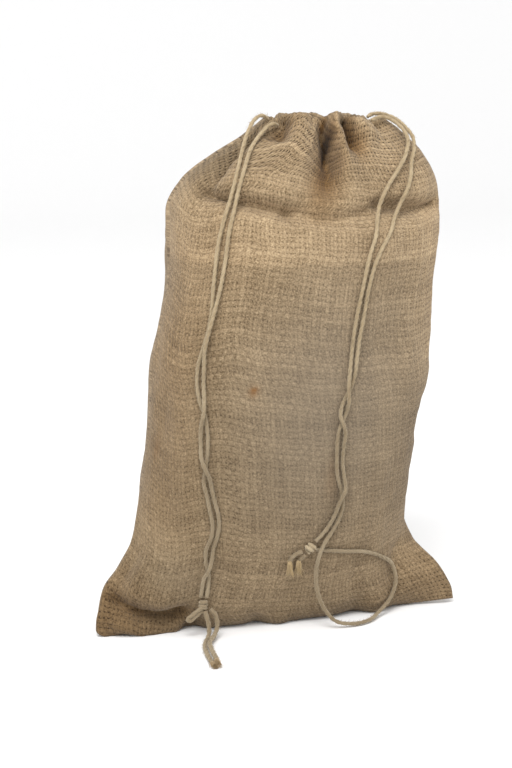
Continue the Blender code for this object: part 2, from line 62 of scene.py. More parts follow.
# The sack in sections, one row for each level of the cloth, from the bottom seam to the rim.
# "cloth" is the distance from the seam along the front; left, right, front and back say where the
# section passes at its two sides and at the middle of its front and back; a section is
# |across| ** span + |depth| ** crown = 1 between them, so a crown under 1 gives thin, pointed ends.
SECTION_COLUMNS = ("cloth", "left_x", "left_y", "left_z", "right_x", "right_y", "right_z",
                   "front_y", "front_z", "back_y", "back_z", "span", "crown")
SECTIONS = (
    (0, -115, -35, 0, 119.5, -35, 3, -28, -1, -24, -1, 3.4, 0.60),
    (4, -119.2, -34.5, 3, 119.3, -34.5, 6, -32, -1, -18.5, -1, 3.4, 0.60),
    (8, -119, -34, 7, 119, -34, 9, -36, -1, -13, -1, 3.4, 0.60),
    (18, -116.8, -32, 16.5, 115, -32, 18, -44, 3, -3, -1, 3.3, 0.66),
    (30, -113, -28, 28, 107, -27, 29, -50, 13, 11, -1, 3.1, 0.80),
    (45, -101, -20, 40, 96.5, -18, 42, -54.5, 28, 29, -1, 2.9, 1.10),
    (62, -91.5, -12, 55, 93.5, -9, 56, -57, 45, 45, 5, 2.7, 1.50),
    (80, -86, -5, 72, 94.5, -3, 72, -58.5, 62, 53, 20, 2.5, 1.80),
    (105, -80.5, 0, 94, 97, 0, 94, -59, 87, 57, 46, 2.4, 2.10),
    (135, -76, 2, 122, 102, 2, 120, -58.5, 117, 58.5, 78, 2.4, 2.30),
    (158, -75, 2, 146, 106, 2, 141, -58, 140, 58.5, 104, 2.4, 2.40),
    (175, -74, 2, 162, 109.5, 2, 158, -57.5, 157, 58, 124, 2.4, 2.40),
    (200, -69, 2, 186, 109.5, 2, 184, -57, 182, 57, 152, 2.4, 2.40),
    (225, -63.5, 2, 210, 110, 2, 208, -57.5, 207, 56, 182, 2.4, 2.40),
    (245, -61.5, 2, 229, 112, 2, 230, -57, 227, 55, 206, 2.4, 2.40),
    (262, -61.5, 2, 246, 114, 2, 247, -53.5, 243, 53, 227, 2.4, 2.35),
    (280, -61.5, 1, 263, 114, 1, 264, -48, 260, 49, 248, 2.3, 2.30),
    (297, -53, 0, 280, 111, 0, 281, -42.5, 276, 43, 268, 2.2, 2.20),
    (314, -35, -1, 294, 103.5, -1, 295, -35, 291, 36, 286, 2.1, 2.10),
    (330, -15, -1, 306, 91.5, 0, 307, -27, 305, 28, 302, 2.0, 2.00),
    (345, 2, 0, 319, 78, 0, 317, -19, 319, 19, 318, 2.0, 2.00),
)
RIM = SECTIONS[-1][0]
HEM_LINE = RIM - HEM_DEPTH  # level of the turned-in cloth's lower edge

# Each panel's folds: how far the cloth is pushed out (inward if negative), half width at the
# path's start and end, the share of that width on the path's left-hand side, how much of the path
# its start and its end take to fade in and out, how sharp its trough or crest is, and the path as
# (share of the panel's width, cloth level).
FOLD_COLUMNS = ("rise", "wide_start", "wide_end", "left_share", "fade_in", "fade_out",
                "sharp", "path")
FOLDS = {
    FRONT: (
        # neck: the left hollow, the wide smooth pleat, the deep slit and the soft valley that
        # opens under it, the narrow ridge beside it, and the second tuck with its rolled edge
        (-10, 8.5, 7, 0.6, 0.25, 0.4, 2.0, ((0.16, 345), (0.19, 338), (0.215, 332), (0.23, 325))),
        (6.5, 12, 20, 0.6, 0.0, 0.6, 2.0, ((0.26, 346), (0.305, 330), (0.335, 318), (0.35, 298))),
        (-15, 3.8, 6.0, 0.6, 0.30, 0.4, 1.8,
         ((0.375, 346), (0.397, 342), (0.420, 339), (0.443, 336), (0.466, 331.5), (0.490, 325.5),
          (0.512, 318), (0.525, 306))),
        (-11, 10, 14, 0.5, 0.35, 0.4, 1.8,
         ((0.425, 341), (0.460, 329), (0.490, 317), (0.503, 303), (0.508, 284))),
        (9, 4.4, 6.0, 1.0, 0.0, 0.6, 2.0,
         ((0.485, 346), (0.487, 339), (0.500, 331.5), (0.515, 324), (0.535, 318), (0.555, 312),
          (0.58, 303))),
        (-12, 3.8, 6, 0.9, 0.1, 0.5, 1.8,
         ((0.55, 346), (0.565, 342), (0.58, 338), (0.59, 333.5), (0.60, 328), (0.625, 319))),
        (6, 4.0, 7, 1.0, 0.0, 0.5, 2.0,
         ((0.58, 347), (0.62, 342), (0.655, 337.5), (0.69, 333), (0.74, 327))),
        (-6, 4, 6, 1.0, 0.0, 0.6, 2.0, ((0.79, 346), (0.82, 341), (0.835, 332))),
        # shoulder: the left pleat and the lobe beside it
        (-10, 5, 6, 0.45, 0.2, 0.3, 1.4,
         ((0.07, 336), (0.085, 324), (0.10, 313), (0.12, 303), (0.125, 294))),
        (3, 7, 9, 1.0, 0.3, 0.4, 2.0, ((0.14, 332), (0.15, 315), (0.18, 302))),
        # the slack crease that sags across the front, with fuller cloth over and under it
        (-9, 5, 5, 0.7, 0.08, 0.15, 1.7,
         ((0.08, 297), (0.165, 293), (0.23, 291), (0.33, 287.5), (0.42, 282))),
        (-5, 6, 6, 0.8, 0.15, 0.15, 1.8,
         ((0.36, 286), (0.47, 279.5), (0.52, 278), (0.58, 280), (0.66, 285))),
        (-9, 5, 5, 0.8, 0.15, 0.1, 1.7,
         ((0.62, 287), (0.68, 286.5), (0.74, 284.5), (0.82, 282.5), (0.94, 282))),
        (4, 6, 6, 1.6, 0.2, 0.3, 2.0, ((0.12, 304), (0.33, 297), (0.45, 291))),
        (2, 7, 7, 1.6, 0.3, 0.2, 2.0, ((0.64, 295), (0.78, 295), (0.92, 298))),
        (2.5, 11, 11, 1.0, 0.2, 0.2, 2.0,
         ((0.1, 276), (0.33, 270), (0.52, 260), (0.75, 268), (0.93, 270))),
        # bottom: the body swells over the left corner; the right corner falls away softly
        (8, 7, 7, 3.0, 0.2, 0.5, 2.0, ((0.02, 38), (0.07, 35), (0.14, 34), (0.20, 40), (0.26, 46))),
        (-9, 3.5, 4, 1.0, 0.02, 0.2, 1.6,
         ((0.0, 31.5), (0.02, 28.5), (0.04, 25), (0.07, 22.5), (0.107, 20), (0.15, 19.5), (0.185, 22),
          (0.207, 27), (0.23, 31), (0.255, 29.5))),
        (-3, 9, 9, 1.0, 0.3, 0.3, 2.0, ((0.84, 18), (0.88, 38), (0.90, 58))),
        # bottom: the foot of the cloth touches the ground unevenly
        (8, 7, 7, 1.0, 0.15, 0.15, 2.0, ((0.015, 10), (0.07, 9), (0.13, 8), (0.18, 7), (0.235, 6))),
        (-5, 5, 8, 1.0, 0.2, 0.4, 2.0, ((0.245, 4), (0.255, 16), (0.27, 32))),
        (-2.5, 6, 8, 1.0, 0.2, 0.4, 2.0, ((0.425, 4), (0.43, 14), (0.435, 30))),
        (2.5, 7, 8, 1.0, 0.2, 0.4, 2.0, ((0.478, 4), (0.483, 14), (0.49, 30))),
        (-2.5, 7, 9, 1.0, 0.2, 0.4, 2.0, ((0.705, 4), (0.71, 16), (0.715, 32))),
        (2.5, 7, 8, 1.0, 0.2, 0.4, 2.0, ((0.768, 4), (0.773, 14), (0.775, 30))),
        # body: long soft hollows beside the corners and the dent at the right side
        (-1.5, 12, 16, 1.0, 0.3, 0.4, 2.0, ((0.12, 70), (0.10, 120), (0.08, 190))),
        (-4, 8, 8, 1.0, 0.4, 0.5, 2.0, ((1.0, 154), (0.93, 150), (0.90, 120))),
        (1.5, 16, 16, 1.0, 0.3, 0.3, 2.0, ((0.30, 70), (0.36, 130), (0.33, 200))),
    ),
    BACK: (
        # neck: four tucks and the ridges between them
        (-10, 5, 8, 1.0, 0.0, 0.6, 1.6, ((0.13, 346), (0.15, 330), (0.19, 308))),
        (4, 8, 14, 1.0, 0.0, 0.6, 2.0, ((0.24, 346), (0.26, 325), (0.29, 300))),
        (-14, 4, 9, 1.0, 0.0, 0.7, 1.5, ((0.37, 346), (0.39, 328), (0.41, 300), (0.42, 282))),
        (5, 6, 10, 1.0, 0.0, 0.6, 2.0, ((0.48, 346), (0.49, 326), (0.49, 302))),
        (-11, 4, 8, 1.0, 0.0, 0.6, 1.6, ((0.60, 346), (0.59, 326), (0.57, 304))),
        (4, 7, 12, 1.0, 0.0, 0.6, 2.0, ((0.71, 346), (0.69, 326), (0.68, 300))),
        (-9, 5, 8, 1.0, 0.0, 0.6, 1.6, ((0.83, 346), (0.81, 326), (0.78, 305))),
        # shoulder and body
        (-4, 6, 6, 1.0, 0.2, 0.2, 1.8, ((0.08, 292), (0.30, 284), (0.52, 288))),
        (-4, 6, 6, 1.0, 0.2, 0.2, 1.8, ((0.50, 280), (0.70, 284), (0.93, 290))),
        (-3, 9, 12, 1.0, 0.3, 0.4, 2.0, ((0.10, 70), (0.12, 120), (0.09, 190))),
        (-3, 9, 12, 1.0, 0.3, 0.4, 2.0, ((0.90, 60), (0.88, 110), (0.91, 170))),
        (3, 10, 10, 1.0, 0.3, 0.3, 2.0, ((0.25, 100), (0.50, 92), (0.75, 100))),
    ),
}
RIM_LIFT = -0.05  # how far cloth that is pushed out rises at the rim, as a share of the push
RIM_LIFT_REACH = 22.0


def unit(vector):
    """The vector at length 1."""
    return vector / np.linalg.norm(vector)


def run_along(points):
    """Distance travelled along a line of points, at each of them."""
    return np.concatenate([[0], np.cumsum(np.linalg.norm(np.diff(points, axis=0), axis=1))])


def read_along(points, run, places):
    """The line of points, read at these distances along it."""
    return np.column_stack([np.interp(places, run, points[:, axis]) for axis in range(3)])


def curve_between(part, start, end, start_rise, end_rise):
    """The smooth curve from one value to another that leaves and arrives with these rises."""
    rest = 1 - part
    return ((1 + 2 * part) * rest ** 2 * start + part * rest ** 2 * start_rise
            + part ** 2 * (3 - 2 * part) * end - part ** 2 * rest * end_rise)


def smooth_column(levels, values, at):
    """A smooth curve through a table's values, with no humps of its own, read at these levels."""
    levels = np.asarray(levels, float)
    values = np.asarray(values, float)
    step = np.diff(levels)
    slope = np.diff(values) / step
    tangent = np.zeros(len(values))
    tangent[0], tangent[-1] = slope[0], slope[-1]
    same_way = slope[:-1] * slope[1:] > 0
    harmonic = np.zeros(len(slope) - 1)
    before, after = slope[:-1][same_way], slope[1:][same_way]
    weight_a = (2 * step[1:] + step[:-1])[same_way]
    weight_b = (step[1:] + 2 * step[:-1])[same_way]
    harmonic[same_way] = (weight_a + weight_b) / (weight_a / before + weight_b / after)
    tangent[1:-1] = harmonic
    at = np.clip(np.asarray(at, float), levels[0], levels[-1])
    row = np.clip(np.searchsorted(levels, at, side="right") - 1, 0, len(step) - 1)
    part = (at - levels[row]) / step[row]
    return curve_between(part, values[row], values[row + 1],
                         step[row] * tangent[row], step[row] * tangent[row + 1])


def section_at(cloth):
    """Every column of the section table at one level of the cloth."""
    table = np.array(SECTIONS, float)
    return {name: float(smooth_column(table[:, 0], table[:, index], cloth))
            for index, name in enumerate(SECTION_COLUMNS)}


def panel_curve(section, panel):
    """One half of a section, left seam to right seam, as points that follow the cloth."""
    across = np.sin(np.linspace(-math.pi / 2, math.pi / 2, LOOP_SAMPLES))
    depth = (1 - np.abs(across) ** section["span"]).clip(0) ** (1 / section["crown"])
    rightward = (across + 1) / 2
    x, side_y, side_z = [section["left_" + axis]
                         + (section["right_" + axis] - section["left_" + axis]) * rightward
                         for axis in "xyz"]
    face = "front" if panel == FRONT else "back"
    y = side_y * (1 - depth) + section[face + "_y"] * depth + panel * SEAM_HALF * (1 - depth)
    z = side_z * (1 - depth) + section[face + "_z"] * depth
    return np.stack([x, y, z], axis=1)


def along_panel(points, fractions):
    """Points at the given fractions of a curve's length, and that length."""
    run = run_along(points)
    return read_along(points, run, fractions * run[-1]), run[-1]


def plain_sack(levels, fractions):
    """The unfolded form: rows (levels) by columns (once round), and each panel's widths."""
    rows, widths = [], {FRONT: [], BACK: []}
    for level in levels:
        section = section_at(level)
        halves = {}
        for panel in (FRONT, BACK):
            halves[panel], width = along_panel(panel_curve(section, panel), fractions)
            widths[panel].append(width)
        rows.append(np.concatenate([halves[FRONT], halves[BACK][::-1]]))
    return np.array(rows), {panel: np.array(widths[panel]) for panel in widths}


def outward(grid):
    """Unit normals of a grid that closes on itself from column to column."""
    around = np.roll(grid, -1, axis=1) - np.roll(grid, 1, axis=1)
    upward = np.gradient(grid, axis=0)
    normal = np.cross(around, upward)
    return normal / np.linalg.norm(normal, axis=2, keepdims=True)


def smooth_step(low, high, value):
    """A soft rise from 0 at the low value to 1 at the high one."""
    part = ((value - low) / (high - low)).clip(0, 1)
    return part * part * (3 - 2 * part)


def nearest_on_path(path, across, level):
    """Distance from each grid point to a path, the share of its length there, and which side."""
    spans = np.diff(path, axis=0)
    lengths = np.linalg.norm(spans, axis=1)
    starts = run_along(path)
    best = np.full(across.shape, np.inf)
    share = np.zeros(across.shape)
    leftward = np.zeros(across.shape)
    for index, (span, length) in enumerate(zip(spans, lengths)):
        off_across = across - path[index, 0]
        off_level = level - path[index, 1]
        part = ((off_across * span[0] + off_level * span[1]) / length ** 2).clip(0, 1)
        distance = np.hypot(off_across - part * span[0], off_level - part * span[1])
        closer = distance < best
        best = np.where(closer, distance, best)
        share = np.where(closer, (starts[index] + part * length) / starts[-1], share)
        turned = (span[0] * off_level - span[1] * off_across) / length
        leftward = np.where(closer, turned, leftward)
    return best, share, leftward


def fold_push(panel, fractions, levels, widths):
    """How far the folds push one panel's cloth outward, on its grid of levels by fractions."""
    across = (fractions[None, :] - 0.5) * widths[:, None]
    level = np.broadcast_to(np.asarray(levels, float)[:, None], across.shape)
    push = np.zeros(across.shape)
    for row in FOLDS[panel]:
        fold = dict(zip(FOLD_COLUMNS, row))
        path = np.array([((share - 0.5) * np.interp(height, levels, widths), height)
                         for share, height in fold["path"]])
        distance, share, leftward = nearest_on_path(path, across, level)
        wide = fold["wide_start"] + (fold["wide_end"] - fold["wide_start"]) * share
        to_left = smooth_step(-1, 1, leftward / wide)
        wide = wide * (1 + (fold["left_share"] - 1) * to_left)
        strength = np.ones(share.shape)
        if fold["fade_in"]:
            strength *= smooth_step(0, fold["fade_in"], share)
        if fold["fade_out"]:
            strength *= 1 - smooth_step(1 - fold["fade_out"], 1, share)
        push += fold["rise"] * strength * np.exp(-(distance / wide) ** fold["sharp"])
    at_seam = 1 - np.abs(2 * fractions - 1) ** SEAM_STILL
    return push * at_seam[None, :]


def folded_sack(levels, fractions):
    """The outer face of the cloth: rows of points up the sack, each once round it."""
    folded, widths = plain_sack(levels, fractions)
    push = np.concatenate([fold_push(FRONT, fractions, levels, widths[FRONT]),
                           fold_push(BACK, fractions, levels, widths[BACK])[:, ::-1]], axis=1)
    folded += outward(folded) * push[:, :, None]
    near_rim = smooth_step(RIM - RIM_LIFT_REACH, RIM, np.asarray(levels, float))
    folded[:, :, 2] += RIM_LIFT * push * near_rim[:, None]
    folded[:, :, 2] = folded[:, :, 2].clip(0)
    return folded


def wall_at(levels):
    """How thick the cloth is at each level: thicker where the hem doubles it."""
    hem = smooth_step(HEM_LINE - HEM_EDGE, HEM_LINE + HEM_EDGE, np.asarray(levels, float))
    return CLOTH_WALL + (HEM_WALL - CLOTH_WALL) * hem


# Each strand's path in millimetres, from the cloth to its loose end. A strand comes out of a
# hollow in the gathered mouth, rises over the edge, and hangs down the front of the sack.
ROUTES = {
    "left_strand_a": (
        (0.1, -7, 317.5), (-2, -8.5, 319.4), (-5.8, -10.6, 320.2), (-9.9, -12.2, 318),
        (-13.2, -14, 313.9), (-16.6, -16.8, 308), (-19.9, -21.4, 301.6), (-24.6, -29.9, 292.6),
        (-28.2, -34.6, 284), (-31.4, -36.4, 274), (-36.7, -40.6, 261.3), (-40.8, -42.3, 248),
        (-43.3, -42.2, 230.5), (-44.9, -42.5, 215), (-46, -42.9, 203.5), (-47.6, -43.2, 195),
        (-49.6, -42.5, 187), (-52, -41.9, 179), (-54.2, -41.4, 170.5), (-55.4, -43, 158),
        (-54.2, -45.2, 148.5), (-51.8, -47.2, 140.5),
        (-50.5, -48.8, 129), (-50.8, -49.3, 116), (-52.4, -49.2, 104.5), (-53, -49.2, 98),
        (-51.4, -50.6, 89.5), (-50, -51.9, 80.5), (-48.7, -53.1, 72), (-49.8, -54.4, 64.5),
        (-52.7, -53.2, 57), (-53, -52.9, 48.5), (-51.5, -53.4, 40), (-52, -53.6, 32),
        (-53.1, -54, 25.4),
    ),
    "left_strand_b": (
        (4.8, -11.8, 313.7), (3.9, -13.1, 314.6), (1.4, -14.9, 315.4), (-1.8, -16.1, 314.4),
        (-6, -18, 311.2), (-10, -20.2, 307.6), (-14.5, -24, 303), (-18.5, -29, 298),
        (-21.5, -33.3, 292.5), (-24.2, -36, 286), (-27.5, -37.6, 276.5), (-31.2, -41.2, 265),
        (-35.1, -44.6, 253),
        (-37.9, -45.1, 234.5), (-40.2, -45.2, 222), (-42.2, -45, 213.5), (-44.1, -45.9, 207.5),
        (-46, -46.5, 201.5), (-48, -46.6, 194.5), (-50, -46.2, 187), (-51.2, -45.4, 180),
        (-51.4, -44.8, 171.5), (-51.9, -45.1, 160), (-52.2, -47.6, 151.5), (-52.8, -49.6, 146),
        (-53.5, -50.7, 141), (-54.3, -49.2, 136), (-54.4, -47.3, 129.5), (-54.4, -47.4, 120),
        (-54.7, -48.9, 115.5), (-54.2, -51.4, 111), (-52.6, -53.3, 106.5), (-50.4, -52.2, 102),
        (-49, -51.3, 96), (-47.2, -52.6, 87), (-45.3, -54, 78), (-44.9, -54.5, 71),
        (-46.3, -54.7, 64.5), (-48.4, -53.7, 57), (-49.6, -54.8, 50.5), (-52.3, -57.2, 44),
        (-55, -54.9, 38), (-55.6, -53.1, 31.5), (-56.5, -52.7, 25.7),
    ),
    "right_strand_a": (
        (65.3, -15.7, 316.6), (73.5, -13.4, 318.6), (84, -15.7, 313.4), (87.8, -21, 306),
        (84.5, -28, 296.5), (76.7, -35.2, 287.2), (66.9, -42.5, 276.8), (61.2, -44.2, 265.5),
        (58, -49.9, 256.5), (55.7, -54.6, 249.4), (51, -57.7, 238), (46.8, -58.7, 221),
        (40.4, -58.9, 188), (38.2, -59.1, 166), (36.3, -62.4, 153), (36.4, -63.1, 148),
        (36, -60, 140.5), (31.5, -60, 130), (29.7, -60.1, 112), (30.4, -60.1, 99),
        (33, -60, 89), (34, -59.9, 80), (31.4, -60, 71), (27, -60, 63.5),
        (21.5, -62.4, 57), (17.5, -64, 49.5), (16, -62, 37), (17.2, -62, 25),
        (21.8, -62.2, 13.5), (29.5, -62.8, 4.7), (40, -62.9, 2.1), (52, -59.8, 2.1),
        (63.5, -50, 4), (73, -44.2, 10.2), (77.9, -40.4, 21), (75.5, -40, 31),
        (65, -47.2, 39.8), (52.5, -53, 45.8), (36, -57.5, 49), (17.3, -59.9, 52.3),
    ),
    "right_strand_b": (
        (64.3, -11.3, 318.4), (66.3, -10.7, 319.6), (70.5, -10, 320.4), (77, -9.8, 319.6),
        (83.5, -11, 316.8), (89, -14, 311.8), (92.4, -18.8, 305.6), (91.6, -23, 299),
        (88, -28.5, 291.5), (84.4, -36.5, 282), (81.5, -39.4, 275.5), (77.3, -40, 268),
        (70.5, -46.5, 258.5), (65.8, -52.6, 250.3), (60, -55.4, 242), (54.5, -57.5, 232),
        (50, -58.4, 217), (46.8, -58.7, 199), (44.2, -59, 186), (42.7, -58.9, 174),
        (41.2, -58.9, 162), (37.8, -59, 153), (33.2, -59.8, 145), (31.1, -62.6, 138),
        (33.1, -63.5, 132), (34.6, -62, 126), (34.2, -60.2, 118), (33.6, -60.1, 108),
        (34.3, -60.4, 100), (34.8, -61.8, 95), (34.3, -63.6, 90), (32, -63.4, 85.3),
        (30.2, -61.9, 80), (28.9, -60.2, 74.5), (26, -60, 69), (21.3, -60, 62.8),
        (16.1, -60.3, 57.9),
    ),
    "left_tail_a": (
        (-54.3, -54.9, 17), (-53.6, -56.4, 13.4), (-52.8, -57.6, 9), (-52.8, -59.3, 5),
        (-54.4, -62.6, 2.6), (-57.4, -68.3, 1.8), (-59.8, -76, 1.8), (-61.2, -85, 1.8),
        (-62, -94.5, 1.8), (-62.3, -104.5, 1.8),
    ),
    "left_tail_b": (
        (-50.9, -54.9, 17.8), (-48.6, -56, 15.4), (-47.4, -57.2, 11.6), (-47.6, -58.8, 7.4),
        (-49.6, -61.4, 4), (-52.5, -66, 3.2), (-55.4, -71.5, 3.4), (-57.2, -78, 3.5),
        (-58.2, -85.5, 3.6), (-58.9, -94.5, 3.6), (-59.4, -104, 3.4),
    ),
    "right_tail_a": (
        (9.4, -60.8, 49.6), (6.6, -60.4, 47.8), (4.9, -60, 44.6), (4.4, -59.6, 38),
    ),
    "right_tail_b": (
        (7, -61, 52.2), (3, -61, 51), (0.2, -60.6, 48.2), (-0.9, -60, 44.6), (-1, -59.5, 38),
    ),
}

# ---- the cloth at a finer grid ----------------------------------------------------

LOW_LEVELS = np.arange(0.0, 60.0, 2.0)
BODY_LEVELS = np.arange(60.0, 246.0, 3.0)
GATHER_LEVELS = np.linspace(247.0, RIM, 84)
INNER_EVERY = 3  # the inner face has one row for this many of the outer one
FLAT_WIDTH = 245.0  # width of one panel laid flat
CLOTH_LOFT = 0.4  # loose fibre holds the looks this far proud of the solid
FLAT_FOOT = 16.0  # the cloth lies evenly at the ground, and is fully uneven this far up

# Unevenness of slack hessian: its rise, its length across and along the cloth, and its seed.
SLACK = (
    (0.9, 34.0, 46.0, 3.0),
    (0.45, 13.0, 19.0, 11.0),
    (0.22, 6.0, 8.0, 23.0),
)
SLACK_GAIN = 1.6  # brings smooth noise to about -1 to 1
PUCKER_RISE = 0.25  # small pleats that run down from the drawn-in rim
PUCKER_COUNT = 27
PUCKER_REACH = 62.0
PUCKER_WANDER = (2.5, 40.0, 60.0, 41.0)  # how they stray sideways, in the columns of SLACK


def rolling(row, across, along):
    """Smooth unevenness over a grid of places on the cloth, from one row like those of SLACK."""
    rise, wide, tall, seed = row
    flat = [noise.noise(Vector((x, y, seed)))
            for x, y in zip((across / wide).ravel(), (along / tall).ravel())]
    return rise * (np.array(flat).reshape(across.shape) * SLACK_GAIN)


def unevenness(levels, fractions):
    """How far slack cloth stands off its plain form, for both panels once round."""
    across = np.concatenate([fractions, fractions + 1.0]) * FLAT_WIDTH
    across, along = np.meshgrid(across, levels)
    total = np.zeros(across.shape)
    for row in SLACK:
        total += rolling(row, across, along)
    pleats = np.cos(2 * math.pi * PUCKER_COUNT * across / FLAT_WIDTH
                    + rolling(PUCKER_WANDER, across, along))
    total += PUCKER_RISE * pleats * smooth_step(RIM - PUCKER_REACH, RIM, along)
    return total * smooth_step(0.0, FLAT_FOOT, along)


def cloth_faces(fractions):
    """Outer and inner face of the cloth: grids of points, and the cloth level of each row."""
    levels = np.concatenate([LOW_LEVELS, BODY_LEVELS, GATHER_LEVELS])
    outer = folded_sack(levels, fractions)
    outer += outward(outer) * (CLOTH_LOFT + unevenness(levels, fractions))[:, :, None]
    outer[:, :, 2] = outer[:, :, 2].clip(0.0)
    inner = outer - outward(outer) * wall_at(levels)[:, None, None]
    neck, last = len(levels) - len(GATHER_LEVELS), len(levels) - 1
    rows = [*range(1, neck, INNER_EVERY), *range(neck, last, INNER_EVERY), last]
    return outer, levels, inner[rows], levels[rows]


# How the weave lies on the sack, by the cloth's level: the distance along the warps, how far they
# shift sideways and how steeply the wefts slope. The neck draws the cloth up, so wefts crowd there.
LEAN = (
    (0, 0, -6, 0.04),
    (60, 62, 0, 0.08),
    (150, 152, 16, 0.09),
    (225, 227, 32, 0.10),
    (258, 261, 30, 0.09),
    (275, 281, 28, 0.11),
    (290, 300, 24, 0.14),
    (308, 323, 20, 0.18),
    (333, 356, 13, 0.24),
    (345, 372, 10, 0.26),
)

# Where the gathered neck takes cloth in, so that the threads stay evenly spaced on the pleats
# that show: share of the panel at the rim and at the shoulder, half width, weight.
TUCKS = {
    FRONT: (
        (0.10, 0.10, 0.06, 0.6),
        (0.48, 0.53, 0.04, 1.0),
        (0.60, 0.66, 0.035, 0.6),
        (0.80, 0.92, 0.06, 0.6),
        (0.00, 0.00, 0.07, 0.8),
        (1.00, 1.00, 0.07, 0.8),
    ),
    BACK: (
        (0.15, 0.18, 0.05, 1.0),
        (0.38, 0.42, 0.05, 1.0),
        (0.60, 0.57, 0.05, 1.0),
        (0.82, 0.78, 0.05, 1.0),
    ),
}

# Where the wefts dip into a fold: share of the panel, level, half sizes, and how far they dip.
DIPS = {
    FRONT: (
        (0.47, 322, 0.10, 26, 8.0),
        (0.61, 332, 0.05, 14, 4.0),
        (0.16, 338, 0.08, 14, 3.0),
    ),
    BACK: (),
}

GATHER_FROM = 250.0  # the cloth starts to gather at this level
GATHER_FULL = 320.0  # and is fully gathered at this one
TUCK_LOW = 270.0  # level at which a tuck has reached its place at the shoulder
TUCK_SPARE = 0.3  # how much less gathered cloth is taken in between the tucks
SEAM_PHASE = 1.5  # panel widths that the back's threads are counted back from

# How far the wefts follow the longer way up one side of the neck, evened out over the columns.
CLIMB_SHARE = 0.7
CLIMB_BLUR = 8
CLIMB_KERNEL = np.ones(2 * CLIMB_BLUR + 1) / (2 * CLIMB_BLUR + 1)


def lean_at(levels):
    """Distance along the warps, their shift and the wefts' slope at each cloth level."""
    table = np.array(LEAN, float)
    return [smooth_column(table[:, 0], table[:, column], levels) for column in (1, 2, 3)]


def off_middle(across, level, share, middle, half_share, half_level):
    """How far each place lies from a patch's middle, in its half sizes and squared."""
    return ((across - share) / half_share) ** 2 + ((level - middle) / half_level) ** 2


def thread_place(grid, levels):
    """Each point's place on its panel's cloth, across and along the threads, in millimetres."""
    half = grid.shape[1] // 2
    along_warp, shift, slope = lean_at(levels)
    column = np.linspace(0, 1, half)[None, :]
    share = column[:, :-1] + 0.5 / (half - 1)
    down = ((RIM - levels) / (RIM - TUCK_LOW)).clip(0, 1)[:, None]
    gathered = smooth_step(GATHER_FROM, GATHER_FULL, levels)[:, None]
    across, along = [], []
    for side, panel in ((FRONT, grid[:, :half]), (BACK, grid[:, half:][:, ::-1])):
        steps = np.linalg.norm(np.diff(panel, axis=1), axis=2)
        taken = np.ones(steps.shape) * (1 - TUCK_SPARE * gathered)
        for at_rim, at_low, half_share, weight in TUCKS[side]:
            middle = at_rim + (at_low - at_rim) * down
            taken += gathered * weight * np.exp(-((share - middle) / half_share) ** 2)
        spare = (FLAT_WIDTH - steps.sum(axis=1)).clip(0) / (taken * steps).sum(axis=1)
        stretched = steps * (1 + taken * spare[:, None])
        run = np.concatenate([np.zeros((len(grid), 1)), np.cumsum(stretched, axis=1)], axis=1)
        place = (run / run[:, -1:] - 0.5) * FLAT_WIDTH
        climb = np.linalg.norm(np.diff(panel, axis=0), axis=2)
        climb = np.stack([np.convolve(np.pad(row, CLIMB_BLUR, mode="edge"), CLIMB_KERNEL, "valid")
                          for row in climb])
        uneven = np.cumsum(climb - climb.mean(axis=1, keepdims=True), axis=0)
        dipped = np.concatenate([np.zeros((1, half)), uneven]) * CLIMB_SHARE
        for *patch, dip in DIPS[side]:
            dipped += dip * np.exp(-off_middle(column, levels[:, None], *patch))
        turn = 1 if side == FRONT else -1
        across.append((place + shift[:, None])[:, ::turn])
        along.append((along_warp[:, None] + place * slope[:, None] + dipped)[:, ::turn])
    across[1] = SEAM_PHASE * FLAT_WIDTH - across[1]
    return np.stack([np.concatenate(across, axis=1), np.concatenate(along, axis=1)], axis=2)


